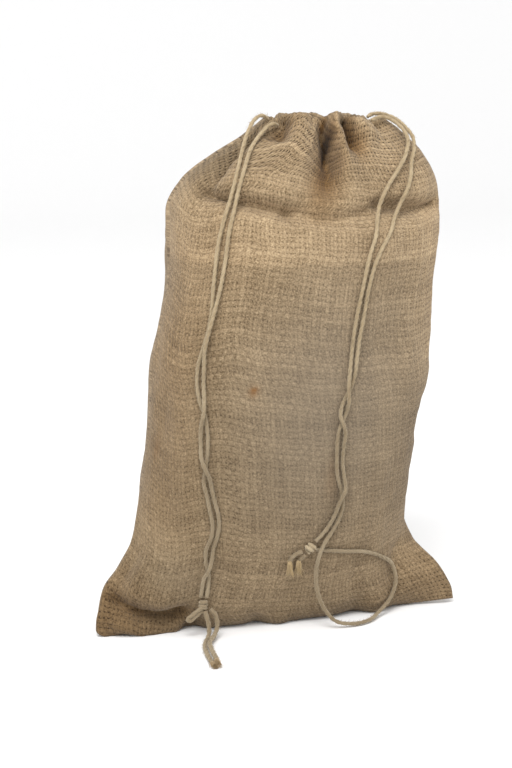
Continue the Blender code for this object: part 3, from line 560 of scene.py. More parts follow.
# Where the cloth's tone changes: share of the panel, level, half sizes, and how much brighter,
# more open and greyer the cloth is there. Less than no grey is warm. The brightness is mostly
# painted light and shade: painted shade in the neck's hollows and slit, on the left shoulder, along
# the creases, at the corners and towards the foot, and painted light on the neck's ridges, the hem
# band and the right side.
PATCHES = {
    FRONT: (
        (0.20, 250, 0.30, 50, 0.06, 0.0, -0.05),
        (0.55, 262, 0.40, 26, 0.10, 0.0, 0.0),
        (0.10, 190, 0.12, 60, -0.03, 0.1, -0.15),
        (0.55, 160, 0.26, 80, -0.08, -0.2, 0.35),
        (0.93, 225, 0.14, 60, 0.64, 0.45, -0.1),
        (0.50, 115, 0.60, 60, -0.18, 0.0, -0.03),
        (0.08, 120, 0.16, 60, -0.08, 0.0, -0.15),
        (0.99, 120, 0.05, 60, 0.06, -0.4, 0.05),
        (0.05, 318, 0.09, 26, -0.48, 0.3, 0.0),
        (0.20, 336, 0.07, 7, -0.50, 0.7, -0.5),
        (0.420, 340, 0.018, 4, -0.40, 0.2, -0.9),
        (0.466, 331, 0.022, 8, -1.20, 0.2, -0.9),
        (0.480, 340, 0.025, 6, 0.45, 0.0, 0.1),
        (0.505, 329, 0.018, 9, 0.35, 0.0, 0.1),
        (0.370, 328, 0.040, 14, 0.20, 0.0, 0.0),
        (0.486, 309, 0.050, 22, -0.62, -0.2, -0.85),
        (0.592, 336, 0.024, 8, -0.80, 0.0, -0.9),
        (0.620, 328, 0.035, 9, -0.38, 0.0, -0.6),
        (0.33, 325, 0.12, 26, 0.08, 0.1, 0.0),
        (0.75, 318, 0.14, 24, 0.14, 0.2, 0.0),
        (0.22, 290, 0.12, 4, -0.12, 0.0, 0.0),
        (0.86, 284, 0.12, 4, -0.12, 0.0, 0.0),
        (0.50, 8, 0.50, 19, -0.50, 0.2, -0.1),
        (0.02, 10, 0.18, 32, -0.22, 0.35, -0.42),
        (0.16, 48, 0.13, 20, -0.20, -0.2, 0.12),
        (0.03, 26.5, 0.03, 3.5, -0.25, 0.0, -0.3),
        (0.09, 21, 0.04, 3.5, 0.06, 0.0, -0.2),
        (0.19, 22, 0.04, 4, -0.25, 0.0, -0.3),
        (0.23, 28, 0.03, 6, -0.15, 0.0, -0.3),
        (0.98, 18, 0.18, 34, 0.02, 0.40, -0.15),
    ),
    BACK: (
        (0.02, 14, 0.20, 34, -0.15, 0.5, 0.0),
        (0.98, 20, 0.20, 40, -0.15, 0.5, 0.0),
        (1.0, 225, 0.10, 60, 0.42, 0.25, -0.1),
    ),
}
# Stains: share of the panel, level, half sizes, and how deep the stain is.
STAINS = {
    FRONT: (
        (0.336, 173.0, 0.009, 1.9, 0.80),
        (0.336, 173.0, 0.017, 4.2, 0.26),
        (0.575, 119, 0.022, 16, 0.14),
        (0.06, 128, 0.012, 9, 0.2),
    ),
    BACK: (),
}
STAIN_EDGE = 1.5  # how sharply a stain ends
# painted light on the hem band, where the cloth faces up; the doubled cloth there also shows less of
# the dark inside
HEM_BRIGHT = 0.20
HEM_TONE_EDGE = 2.5
NECK_OPEN = 0.75
NECK_OPENS_FROM = 285.0
NECK_OPENS_TO = 325.0
NEUTRAL = 0.5  # what brightness and greyness read where nothing changes them
DARKEST = 0.2  # share of its brightness that the cloth keeps under the deepest painted shade, in a fold


def tones(levels, fractions):
    """Brightness, openness, greyness and stain of the cloth on a face's grid, for both panels; the
    brightness holds painted light and shade.
    """
    layers = []
    for panel in (FRONT, BACK):
        across, level = np.meshgrid(fractions if panel == FRONT else fractions[::-1], levels)
        tone = np.zeros((*across.shape, 4)) + (NEUTRAL, 0, NEUTRAL, 0)
        tone[:, :, 0] += HEM_BRIGHT * smooth_step(HEM_LINE - HEM_TONE_EDGE,
                                                  HEM_LINE + HEM_TONE_EDGE, level)
        tone[:, :, 1] += NECK_OPEN * smooth_step(NECK_OPENS_FROM, NECK_OPENS_TO, level)
        # painted light and shade: the brightness column lightens ridges and darkens hollows, creases
        # and the foot
        for *place, painted_light_and_tone, looser, greyer in PATCHES[panel]:
            patch = np.exp(-off_middle(across, level, *place))
            tone += patch[:, :, None] * (painted_light_and_tone, looser, greyer, 0)
        for *place, depth in STAINS[panel]:
            tone[:, :, 3] += depth * np.exp(-off_middle(across, level, *place) ** STAIN_EDGE)
        layers.append(tone)
    return np.concatenate(layers, axis=1)


def linked(name, data):
    """A new object in the scene that holds this data."""
    thing = bpy.data.objects.new(name, data)
    bpy.context.collection.objects.link(thing)
    return thing


def add_mesh(name, points, faces, look, **layers):
    """A smooth mesh in the scene from points in metres, with a layer for each set of places."""
    mesh = bpy.data.meshes.new(name)
    mesh.from_pydata(points, [], faces)
    for layer, places in layers.items():
        mesh.uv_layers.new(name=layer).data.foreach_set("uv", np.array(places, float).ravel())
    mesh.materials.append(look)
    mesh.shade_smooth()
    mesh.update()
    return linked(name, mesh)


# The baked sheet's heights that each part of the cloth takes, from and to.
BAKE_OUTER = (0.0, 0.66)
BAKE_RIM = (0.67, 0.68)
BAKE_BOTTOM_OUTER = (0.683, 0.691)
BAKE_BOTTOM_INNER = (0.692, 0.700)
BAKE_INNER = (0.70, 1.0)
BOTTOM_SEAM = 4.0  # length of weave that turns under at the bottom seam


def make_cloth(cloth):
    """The sack's whole cloth as one closed mesh, with its thread places and tones."""
    fractions = np.linspace(0, 1, PANEL_COLUMNS + 1)
    outer, outer_levels, inner, inner_levels = cloth_faces(fractions)
    around = outer.shape[1]
    half = around // 2
    first_inner = len(outer) * around
    column = np.arange(around)
    after = (column + 1) % around
    # at a side seam the threads of one panel run on to the next panel's edge
    read = np.where(after % half == 0, column, after)
    parts = []

    def add_faces(points, threads, step, rise, bake, flip):
        """Faces side by side: each corner's point, thread place and place on the baked sheet."""
        wide = (column[:len(points), None] + step) / around
        tall = bake[0] + (bake[1] - bake[0]) * np.array(rise) + 0 * wide
        corners = points, threads, np.stack([wide, tall], axis=2)
        parts.append([each[:, ::-1] if flip else each for each in corners])

    def add_strip(low, high, low_threads, high_threads, bake, flip):
        """Faces once round, between the rows of points that start at these two numbers."""
        points = np.stack([low + column, low + after, high + after, high + column], axis=1)
        threads = np.stack([low_threads, low_threads[read], high_threads[read], high_threads],
                           axis=1)
        add_faces(points, threads, (0, 1, 1, 0), (0, 0, 1, 1), bake, flip)

    def add_skin(first, place, bake, flip):
        """One face of the cloth, row by row."""
        heights = np.linspace(*bake, len(place))
        for row in range(len(place) - 1):
            low = first + row * around
            add_strip(low, low + around, place[row], place[row + 1], heights[row:row + 2], flip)

    def add_bottom(first, across, bake, flip):
        """The bottom seam: the front's lowest row sewn to the back's."""
        near, under = column[:half - 1, None], np.array((0, 1, 1, 0))
        points = first + np.where(under, around - 1 - near, near) + (0, 0, -1, 1)
        threads = np.stack([across[near + (0, 0, 1, 1)], -BOTTOM_SEAM * under + 0.0 * near], axis=2)
        add_faces(points, threads, (0, 0, 1, 1), under, bake, flip)

    outer_place = thread_place(outer, outer_levels)
    inner_place = thread_place(inner, inner_levels)
    inner_place[:, :, 1] = 2 * (LEAN[-1][1] + HEM_WALL) - inner_place[:, :, 1]
    over_rim = outer_place[-1] + (0.0, 2 * HEM_WALL)
    add_skin(0, outer_place, BAKE_OUTER, False)
    add_skin(first_inner, inner_place, BAKE_INNER, True)
    add_strip(first_inner - around, first_inner + (len(inner) - 1) * around, outer_place[-1],
              over_rim, BAKE_RIM, False)
    add_bottom(0, outer_place[0, :, 0], BAKE_BOTTOM_OUTER, False)
    add_bottom(first_inner, outer_place[0, :, 0], BAKE_BOTTOM_INNER, True)

    faces, threads, bakes = [np.concatenate(each) for each in zip(*parts)]
    points = np.concatenate([outer.reshape(-1, 3), inner.reshape(-1, 3)]) * MM
    piece = add_mesh("sack_cloth", points.tolist(), faces.tolist(), cloth,
                     weave=threads * MM, OFBake=bakes)
    layers = np.concatenate([tones(levels, fractions).reshape(-1, 4)
                             for levels in (outer_levels, inner_levels)])
    tone = piece.data.attributes.new("tone", "FLOAT_COLOR", "POINT")
    tone.data.foreach_set("color", layers.ravel())
    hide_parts("sack")
    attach(piece, "root")


# ---- twine ------------------------------------------------------------------------

TWINE_DRAWN = 2.5  # the twine's own thickness, without its loose fibre
TAIL_DRAWN = 3.0  # and where its plies have slackened below the left knot
TABLE_CLEAR = 0.05  # how close to the table a loose fibre lies
KNOT_TWINE = 2.7
RING_STEP = 0.6  # length of twine between two rings of its mesh
RING_SIDES = 14
ROUTE_FINE = 0.25  # how finely a route is followed before it is measured
PLY_LAY = 9.5  # length of one full turn of the two plies
PLY_DIP = 0.27  # how far the groove between the plies cuts in, as a share of the radius
PLY_ROUND = 0.75  # how round the plies are: less is rounder, with a narrower groove
SWELL = 0.07  # how much the twine's thickness wanders, as a share of it
SWELL_STEP = 4.0  # over what length it does so
WORN_END = 3.0  # length over which a bare end thins out
KNOT_END = 1.5  # and over which a knot's own twine does, where it is tucked under
THINNEST = 0.35  # share of the thickness that is left there

# Loose fibres
FIBRE_STEPS = 5
FIBRE_CURL = 0.28  # how far a fibre's tip bends aside, as a share of its length
FIBRE_TAPER = 0.75  # share of its thickness that it loses towards the tip
FIBRE_DEEP = 1.6  # how deep a fibre is for its half width
FUZZ_THICK = 0.14
FUZZ_LENGTHS = (1.0, 2.6)
FUZZ_OUT = (0.3, 0.8)  # how much a fibre points away from the twine
FUZZ_ALONG = (0.5, 1.0)  # and along it
FUZZ_ROOT = 0.40  # where it starts, as a share of the twine's thickness from its middle
STRAND_FUZZ = 5.0  # fibres on each millimetre of a strand
KNOT_FUZZ = 1.6  # and of a knot
FRAY_THICK = 0.45
FRAY_DROOP = 0.12
FRAY_WIDE = 0.6  # how far the roots of a frayed end's fibres scatter
FRAY_SHORTEST = 0.7  # length of its shortest fibres, as a share of the longest
FRAY_CLEAR = 0.1  # how close to the table it lies


def smooth_route(points, step):
    """A smooth curve through the points, then read again at even steps along its length."""
    stops = np.array(points, float)
    lengths = np.linalg.norm(np.diff(stops, axis=0), axis=1)
    slopes = np.diff(stops, axis=0) / lengths[:, None]
    turns = slopes.copy()
    before, after = lengths[:-1, None], lengths[1:, None]
    turns[1:] = (slopes[:-1] * after + slopes[1:] * before) / (before + after)
    turns = np.vstack((turns, slopes[-1:]))
    fine = [curve_between(share, stops[start], stops[start + 1],
                          length * turns[start], length * turns[start + 1])
            for start, length in enumerate(lengths)
            for share in np.arange(0.0, 1.0, ROUTE_FINE / math.ceil(length))]
    fine = np.array([*fine, stops[-1]])
    run = run_along(fine)
    stations = np.linspace(0.0, run[-1], max(3, round(run[-1] / step) + 1))
    return read_along(fine, run, stations), run[-1]


ANY_WAY = (0.3, 0.2, 1.0)  # a direction that no strand starts in


def frames_along(path):
    """Two unit vectors across the path at each point, turning no more than the path makes them."""
    tangent = np.gradient(path, axis=0)
    tangent /= np.linalg.norm(tangent, axis=1, keepdims=True)
    side = np.cross(tangent[0], ANY_WAY)
    sides = []
    for direction in tangent:
        side = unit(side - direction * (side @ direction))
        sides.append(side)
    sides = np.array(sides)
    return sides, np.cross(tangent, sides), tangent


def ring_faces(first, sides, side_wide, run):
    """Faces between the rings of a tube from its first point on, and their thread places."""
    faces, places = [], []
    for ring in range(len(run) - 1):
        low, high = first + ring * sides, first + (ring + 1) * sides
        for corner in range(sides):
            after = (corner + 1) % sides
            faces.append((low + corner, low + after, high + after, high + corner))
            places += [((corner + step) * side_wide, run[row]) for step, row in
                       ((0, ring), (1, ring), (1, ring + 1), (0, ring + 1))]
    return faces, places


def plied_tube(path, thick, draws, start_taper=0.0, end_taper=0.0):
    """Points, faces and thread places of a two-ply twine along a path, in millimetres."""
    sides, ups, _ = frames_along(path)
    run = run_along(path)
    turn = run / PLY_LAY * 2 * math.pi + draws.uniform(0, math.pi)
    angle = np.arange(RING_SIDES) / RING_SIDES * 2 * math.pi
    groove = 1 - PLY_DIP * (1 - np.abs(np.cos(angle)) ** PLY_ROUND)
    places = np.arange(0, run[-1] + SWELL_STEP, SWELL_STEP)
    swell = 1 + SWELL * np.interp(run, places, draws.uniform(-1, 1, len(places)))
    if start_taper:
        swell = swell * np.clip(run / start_taper, THINNEST, 1)
    if end_taper:
        swell = swell * np.clip((run[-1] - run) / end_taper, THINNEST, 1)
    angles = angle + turn[:, None]
    reach = groove * swell[:, None] * thick / 2
    points = (path[:, None] + (np.cos(angles) * reach)[:, :, None] * sides[:, None]
              + (np.sin(angles) * reach)[:, :, None] * ups[:, None]).reshape(-1, 3)
    faces, places = ring_faces(0, RING_SIDES, math.pi * thick / RING_SIDES, run)
    for ring, flip in ((0, True), (len(path) - 1, False)):
        cap = [ring * RING_SIDES + corner for corner in range(RING_SIDES)]
        faces.append(tuple(cap[::-1] if flip else cap))
        places += [(0.0, run[ring])] * RING_SIDES
    return points, faces, places


def loose_fibres(starts, directions, lengths, thick, draws, droop=0.0):
    """Thin curved blades of fibre that stand out from the given places, in millimetres."""
    points, faces, places = [], [], []
    for start, way, length in zip(starts, directions, lengths):
        way = unit(way)
        bend = unit(np.cross(way, draws.normal(size=3)))
        wide = np.cross(way, bend)
        first = len(points)
        for step in range(FIBRE_STEPS + 1):
            share = step / FIBRE_STEPS
            middle = (start + way * length * share + bend * length * FIBRE_CURL * share ** 2
                      - np.array((0, 0, 1.0)) * droop * length * share ** 2)
            half = thick * (1 - FIBRE_TAPER * share) / 2
            points += [middle - wide * half, middle + wide * half, middle + bend * half * FIBRE_DEEP]
        blade_faces, blade_places = ring_faces(first, 3, 1, range(FIBRE_STEPS + 1))
        last = first + 3 * FIBRE_STEPS
        faces += [*blade_faces, (first + 2, first + 1, first), (last, last + 1, last + 2)]
        places += blade_places + [(0, 0)] * 6
    return np.array(points), faces, places


def joined(*parts):
    """Several sets of points, faces and places as one."""
    points, faces, places = [], [], []
    for more_points, more_faces, more_places in parts:
        offset = sum(len(each) for each in points)
        points.append(np.asarray(more_points))
        faces += [tuple(index + offset for index in face) for face in more_faces]
        places += more_places
    return np.concatenate(points), faces, places


def make_piece(name, shape, twine):
    """A mesh piece of twine from points in millimetres, with its thread places."""
    points, faces, places = shape
    piece = add_mesh(name, (points * MM).tolist(), faces, twine, twine=np.array(places) * MM)
    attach(piece, "root")
    return piece


def fuzz(path, thick, per_mm, draws):
    """Short stray fibres all along a twine."""
    count = int(per_mm * run_along(path)[-1])
    rows = draws.integers(2, len(path) - 2, count)
    sides, ups, tangents = frames_along(path)
    angles = draws.uniform(0, 2 * math.pi, count)
    out = np.cos(angles)[:, None] * sides[rows] + np.sin(angles)[:, None] * ups[rows]
    outward_part = draws.uniform(*FUZZ_OUT, count)[:, None]
    along_part = draws.uniform(*FUZZ_ALONG, count)[:, None]
    ways = out * outward_part + tangents[rows] * along_part
    starts = path[rows] + out * thick * FUZZ_ROOT
    return loose_fibres(starts, ways, draws.uniform(*FUZZ_LENGTHS, count), FUZZ_THICK, draws)


def above_table(shape, clear):
    """The same shape, with the loose fibres that point down bent flat along the table."""
    points, faces, places = shape
    points[:, 2] = points[:, 2].clip(clear)
    return points, faces, places


def make_strand(name, points, twine, seed, bare=False):
    """A strand of twine from its route, with the path that it follows and its length."""
    draws = np.random.default_rng(seed)
    path, length = smooth_route(points, RING_STEP)
    drawn = TAIL_DRAWN if "left_tail" in name else TWINE_DRAWN
    tube = plied_tube(path, drawn, draws, end_taper=WORN_END if bare else 0.0)
    shape = above_table(joined(tube, fuzz(path, drawn, STRAND_FUZZ, draws)), TABLE_CLEAR)
    piece = make_piece(name + "_twine", shape, twine)
    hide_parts(name)
    return piece, path, length


def make_cord(name, points, twine, far_end, seed):
    """A strand of twine, made from its route."""
    piece, path, length = make_strand(name, points, twine, seed, far_end == "bare")
    tuple(path[0] * MM)
    length * MM
    [tuple(place) for place in path * MM]


# Each knot: its middle, the run of its axis (across, up), how wide and how long its turns are,
# how many there are, its seed, and the loop that is left over after them (across, up, out), from
# the middle.
KNOT_COLUMNS = ("middle", "axis", "radius", "pitch", "turns", "seed", "loop")
KNOTS = {
    "left_knot": ((-55.2, -53.8, 21.4), (0.12, 1.0), 1.7, 2.4, 1.9, 5, (
        (1.4, -2.4, 0.6), (-1.0, -2.2, 1.4), (-4.2, -3.9, 1.2), (-7.2, -6.5, 0.8),
        (-9.6, -8.6, 0.4), (-10.0, -10.0, 0.2), (-8.9, -10.2, 0.3), (-6.0, -8.3, 0.6),
        (-2.9, -5.8, 0.6), (0.8, -3.9, 0.0),
    )),
    "right_knot": ((12.2, -61.2, 54.2), (0.80, 0.60), 1.9, 2.5, 2.2, 6, ()),
}
KNOT_STEP = 0.125  # share of a turn between two points of its path


def make_knot(name, twine):
    """A pulled-tight knot: the twine winds round the two strands, and may leave a loop."""
    row = dict(zip(KNOT_COLUMNS, KNOTS[name]))
    middle = np.array(row["middle"])
    axis = unit(np.array((row["axis"][0], 0.0, row["axis"][1])))
    side, out = np.array((axis[2], 0.0, -axis[0])), np.array((0.0, -1.0, 0.0))
    turn = np.arange(0.0, row["turns"], KNOT_STEP)
    along = (row["turns"] / 2 - turn) * row["pitch"]
    reach = row["radius"]
    points = [tuple(middle + axis * run + side * reach * math.cos(2 * math.pi * part)
                    + out * reach * math.sin(2 * math.pi * part))
              for run, part in zip(along, turn)]
    points += [(middle[0] + across, middle[1] - forward, middle[2] + up)
               for across, up, forward in row["loop"]]
    path, _ = smooth_route(points, RING_STEP)
    draws = np.random.default_rng(row["seed"])
    shape = joined(plied_tube(path, KNOT_TWINE, draws, KNOT_END, KNOT_END),
                   fuzz(path, KNOT_TWINE, KNOT_FUZZ, draws))
    piece = make_piece(name + "_twine", shape, twine)
    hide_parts(name)
    return piece


def make_fray(name, place, way, spread, count, length, twine, seed):
    """A tuft of combed-out fibres at the end of a twine."""
    draws = np.random.default_rng(seed)
    ways = unit(np.array(way, float)) + draws.normal(size=(count, 3)) * spread
    starts = np.array(place, float) + draws.normal(size=(count, 3)) * FRAY_WIDE
    lengths = length * draws.uniform(FRAY_SHORTEST, 1.0, count)
    fibres = loose_fibres(starts, ways, lengths, FRAY_THICK, draws, droop=FRAY_DROOP)
    return make_piece(name, above_table(fibres, FRAY_CLEAR), twine)


# ---- materials --------------------------------------------------------------------

WARP_PITCH = 2.8
WEFT_PITCH = 3.45
MIDDLE = 0.5  # of a thread's width, and of what noise and chance give


class Value:
    """A number or colour that a material works out, with arithmetic that adds to its nodes."""

    def __init__(self, graph, socket):
        self.graph = graph
        self.socket = socket

    def __add__(self, other):
        return self.graph.math("ADD", self, other)

    def __sub__(self, other):
        return self.graph.math("SUBTRACT", self, other)

    def __rsub__(self, other):
        return self.graph.math("SUBTRACT", other, self)

    def __mul__(self, other):
        return self.graph.math("MULTIPLY", self, other)

    def __truediv__(self, other):
        return self.graph.math("DIVIDE", self, other)

    __radd__ = __add__


class Graph:
    """Short calls that add a material's nodes and join them."""

    def __init__(self, name):
        self.material = bpy.data.materials.new(name)
        self.material.use_nodes = True
        self.tree = self.material.node_tree
        self.surface = self.tree.nodes["Principled BSDF"]

    def put(self, socket, value):
        """Joins what is worked out to a socket, or sets the socket to a colour or number."""
        if isinstance(value, Value):
            self.tree.links.new(value.socket, socket)
        elif isinstance(value, tuple):
            socket.default_value = (*value, 1.0)
        else:
            socket.default_value = value

    def node(self, kind, inputs=(), **settings):
        """What a new node gives out, from values for its inputs, by their order or names."""
        made = self.tree.nodes.new("ShaderNode" + kind)
        for name, setting in settings.items():
            setattr(made, name, setting)
        for key, value in inputs.items() if isinstance(inputs, dict) else enumerate(inputs):
            self.put(made.inputs[key], value)
        return [Value(self, socket) for socket in made.outputs]

    def math(self, operation, *values):
        return self.node("Math", values, operation=operation)[0]

    def at_least(self, value, least):
        return self.math("MAXIMUM", value, least)

    def span(self, value, low, high, to_low=0.0, to_high=1.0):
        return self.node("MapRange", (value, low, high, to_low, to_high),
                         interpolation_type="SMOOTHSTEP")[0]

    def vector(self, x, y, z=0.0):
        return self.node("CombineXYZ", (x, y, z))[0]

    def noise(self, place, scale=1.0, detail=2.0, rough=0.5):
        inputs = {"Vector": place, "Scale": scale, "Detail": detail, "Roughness": rough}
        return self.node("TexNoise", inputs)[0]

    def chance(self, number, seed):
        return self.node("TexWhiteNoise", {"W": number + seed}, noise_dimensions="1D")[0]

    def mix(self, share, left, right, blend="MIX"):
        inputs = {0: share, 6: left, 7: right}
        return self.node("Mix", inputs, data_type="RGBA", blend_type=blend)[2]

    def tint(self, colour, by):
        """The colour multiplied by another one, or by one number."""
        by = self.vector(by, by, by) if isinstance(by, Value) else by
        return self.mix(1.0, colour, by, "MULTIPLY")

    def axes(self, place):
        return self.node("SeparateXYZ", [place])

    def places(self, layer):
        return self.axes(self.node("UVMap", uv_map=layer)[0])[:2]

    def layer(self, name):
        colour, _, _, alpha = self.node("Attribute", attribute_name=name)
        return [*self.node("SeparateColor", [colour]), alpha]

    def bump(self, height, distance, strength):
        inputs = {"Strength": strength, "Distance": distance, "Height": height}
        return self.node("Bump", inputs)[0]

    def coated(self, **surface):
        """The material, with these values on its surface."""
        for name, value in surface.items():
            self.put(self.surface.inputs[name.replace("_", " ")], value)
        return self.material


THREAD_LIGHT = (0.41, 0.305, 0.185)
THREAD_MIDDLE = (0.265, 0.19, 0.11)
THREAD_DARK = (0.125, 0.082, 0.042)
# painted shade: the dark inside of the sack, seen through the open gaps
GAP_BROWN = (0.035, 0.020, 0.009)
STAIN_BROWN = (0.19, 0.088, 0.028)
# warm brown that mostly tints the painted shade in the folds
WARM_TINT = (1.0, 0.77, 0.49)
GREY_DUST = (0.255, 0.225, 0.185)

# How the threads wander: in how small waves, and by how many threads.
WANDER = ((34.0, 1.6), (130.0, 0.45))
WARP_SEED = 0.31
WEFT_SEED = 7.77
CROSSING_SEED = 0.5
SLUB = (3.7, 0.15)  # how quickly a thread's thickness changes, from thread to thread and along it
STRAY = (5.3, 0.45)  # and how quickly its place does
SPACING_SPREAD = 0.14  # how unevenly the threads are spaced
STRAY_SPREAD = 0.40  # and how far each strays along its way
THREAD_HALF = 0.26  # half width of the thinnest thread, as a share of the pitch
WARP_SPREAD = (0.10, 0.22)  # how much wider a warp is by chance, and at a slub
WEFT_SPREAD = (0.10, 0.26)
OPEN_NARROWS = -0.05  # how much narrower it is where the weave is open
THREAD_RISE = 0.68  # height of a thread between its crossings
THREAD_WAVE = 0.32  # how far it rises and falls at them
OVERLAP = 0.10  # difference in height over which one thread gives way to the other
FIBRE_FINE = 2600.0  # how fine the fibres of a thread are across it
FIBRE_LONG = 420.0  # and along it
FIBRE_TONE = 1.3  # how much each of these changes how pale the cloth is
BLOTCH_TONE = 0.8
SPECK_TONE = 2.8
CROSSING_TONE = 0.12
WARP_TONE = (0.25, 0.30, 0.18)  # how pale a warp is by chance, at a slub, and at least
WEFT_TONE = (0.34, 0.40, 0.10)
CHECKER = (17.31, 5.73)  # gives each crossing a number of its own
HOLLOW = 0.66  # painted shade: share of its colour that a thread keeps where it is lowest
FIBRE_RELIEF = 0.10
SPECK_RELIEF = 0.5
WEAVE_RELIEF = (0.7 * MM, 0.75)
WEFT_LAYER = 0.7  # sets the wefts' wandering apart from the warps'
SPECKS = (900.0, 3.0, 0.7)  # noise as its scale, detail and roughness
BLOTCHES = (24.0, 4.0, 0.6)
TO_MIDDLE = (-0.1, 0.5)  # paleness over which a thread goes from dark to middling
TO_LIGHT = (0.45, 1.1)  # and from there to light
FILLED = (-0.2, 0.7, 0.14, 0.0)  # openness from and to, and how far stray fibre fills the gaps
COVERED = (0.05, 0.42)  # heights between which the threads hide what is under them
GAP_DEPTH = (-0.1, 1.0, 0.35, 1.0)  # openness from and to, and how dark the gaps are with the painted shade of the inside
OPEN_RELIEF = (-0.2, 0.6, 0.48, 1.0)  # openness from and to, and how much relief there is
DUSTY = 0.8  # how strongly the greyer places are dusted over
WARMED = 1.2  # and the warmer ones tinted, mostly the painted shade in the folds


def thread_family(graph, across, along, seed):
    """One set of parallel yarns: their numbers, the place off their middle, chance and slubs."""
    number = graph.math("FLOOR", across)
    chance = graph.chance(number, seed)
    slub, stray = [graph.noise(graph.vector(number * by_thread, along * by_length, seed))
                   for by_thread, by_length in (SLUB, STRAY)]
    off = (across - number - MIDDLE + (chance - MIDDLE) * SPACING_SPREAD
           + (stray - MIDDLE) * STRAY_SPREAD)
    return number, off, chance, slub


def hessian_material():
    """Plain weave of uneven jute yarn: threads over and under each other, with open gaps."""
    graph = Graph("hessian_weave")
    u, v = graph.places("weave")
    painted_brightness, opened, grey, stain = graph.layer("tone")
    place = graph.vector(u, v)
    turned = graph.vector(v, u, WEFT_LAYER)

    def wander(where):
        (large, large_by), (small, small_by) = WANDER
        return ((graph.noise(where, large) - MIDDLE) * large_by
                + (graph.noise(where, small) - MIDDLE) * small_by)

    warp = u * (1 / (WARP_PITCH * MM)) + wander(place)
    weft = v * (1 / (WEFT_PITCH * MM)) + wander(turned)
    warp_number, off_warp, warp_chance, warp_slub = thread_family(graph, warp, weft, WARP_SEED)
    weft_number, off_weft, weft_chance, weft_slub = thread_family(graph, weft, warp, WEFT_SEED)
    over = 1.0 - graph.math("FLOORED_MODULO", warp_number + weft_number, 2.0) * 2.0

    def thread_height(off, other_off, chance, slub, spread, wave):
        """How high a thread stands: round across, and over or under at each crossing."""
        half = (THREAD_HALF + chance * spread[0] + slub * spread[1]) + opened * OPEN_NARROWS
        share = off / half
        top = graph.math("SQRT", graph.at_least(1.0 - share * share, 0.0))
        return top * (THREAD_RISE + over * graph.math("COSINE", other_off * math.pi) * wave)

    height_warp = thread_height(off_warp, off_weft, warp_chance, warp_slub, WARP_SPREAD, THREAD_WAVE)
    height_weft = thread_height(off_weft, off_warp, weft_chance, weft_slub, WEFT_SPREAD,
                                -THREAD_WAVE)
    height = graph.at_least(height_warp, height_weft)
    warp_shows = graph.span(height_warp - height_weft, -OVERLAP, OVERLAP)
    covered = graph.span(height + graph.span(opened, *FILLED), *COVERED)

    def fibre_and_tone(run, chance, slub, tone):
        """A thread's fibres, and how pale it is."""
        fibre = graph.noise(graph.vector(*run), detail=3.0)
        pale = chance * tone[0] + slub * tone[1] + (fibre - MIDDLE) * FIBRE_TONE + tone[2]
        return fibre, pale

    fibre_warp, pale_warp = fibre_and_tone((u * FIBRE_FINE, v * FIBRE_LONG),
                                           warp_chance, warp_slub, WARP_TONE)
    fibre_weft, pale_weft = fibre_and_tone((u * FIBRE_LONG, v * FIBRE_FINE),
                                           weft_chance, weft_slub, WEFT_TONE)
    crossing = graph.chance(warp_number * CHECKER[0] + weft_number * CHECKER[1], CROSSING_SEED)
    speck = graph.noise(place, *SPECKS) - MIDDLE
    blotch = graph.noise(place, *BLOTCHES) - MIDDLE
    pale = (warp_shows * pale_warp + (1.0 - warp_shows) * pale_weft + blotch * BLOTCH_TONE
            + speck * SPECK_TONE + (crossing - MIDDLE) * CROSSING_TONE)
    thread = graph.mix(graph.span(pale, *TO_MIDDLE), THREAD_DARK, THREAD_MIDDLE)
    thread = graph.mix(graph.span(pale, *TO_LIGHT), thread, THREAD_LIGHT)
    # painted shade in the low places between and under the threads
    shaded = graph.tint(thread, HOLLOW + height * (1 - HOLLOW))
    # the gaps: painted shade of the sack's dark inside, deeper where the weave is open
    gap = graph.mix(graph.span(opened, *GAP_DEPTH), THREAD_DARK, GAP_BROWN)
    colour = graph.mix(covered, gap, shaded)

    # painted light and shade: the tone layer's brightness darkens the hollows, creases and foot and
    # lightens the ridges; the warm tint below mostly warms that painted shade
    colour = graph.tint(colour, graph.at_least(painted_brightness + (1 - NEUTRAL), DARKEST))
    colour = graph.mix(graph.at_least(grey - NEUTRAL, 0.0) * DUSTY, colour, GREY_DUST)
    colour = graph.mix(graph.at_least(NEUTRAL - grey, 0.0) * WARMED, colour, WARM_TINT, "MULTIPLY")
    colour = graph.mix(stain, colour, STAIN_BROWN)
    relief = (height * graph.span(opened, *OPEN_RELIEF) + fibre_warp * FIBRE_RELIEF
              + fibre_weft * FIBRE_RELIEF + speck * SPECK_RELIEF)
    return graph.coated(Base_Color=colour, Roughness=0.92, Specular_IOR_Level=0.12,
                        Sheen_Weight=0.08, Sheen_Roughness=0.6,
                        Normal=graph.bump(relief, *WEAVE_RELIEF))


TWINE_PALE = (0.46, 0.375, 0.25)
TWINE_MIDDLE = (0.31, 0.235, 0.14)
TWINE_DARK = (0.14, 0.095, 0.05)
TWINE_SHEEN = (1.0, 0.88, 0.68)
TWINE_DARKER_LOW = (0.25, 0.10)  # heights in metres over which the twine turns darker and greyer towards the bottom
TWINE_RELIEF = (0.35 * MM, 0.7)
TWINE_FIBRES = (2200.0, 260.0)  # how fine they are, across the twine and along it
TWINE_FLECKS = (500.0, 150.0, 3.0)  # the same for its flecks, and the layer that they lie in
TWINE_DRIFT = (30.0, 8.0)  # how quickly its tone drifts along it, and the layer
FIBRE_SHARE = 0.8  # of the tone, beside the drift
TWINE_DEEPEN = 0.40  # taken off that tone
PALE_FROM_TO = (0.2, 0.8)  # tones over which it goes from middling to pale
FLECK_FROM_TO = (0.66, 0.74, 0.0, 0.7)  # noise over which flecks set in, and how strong they get


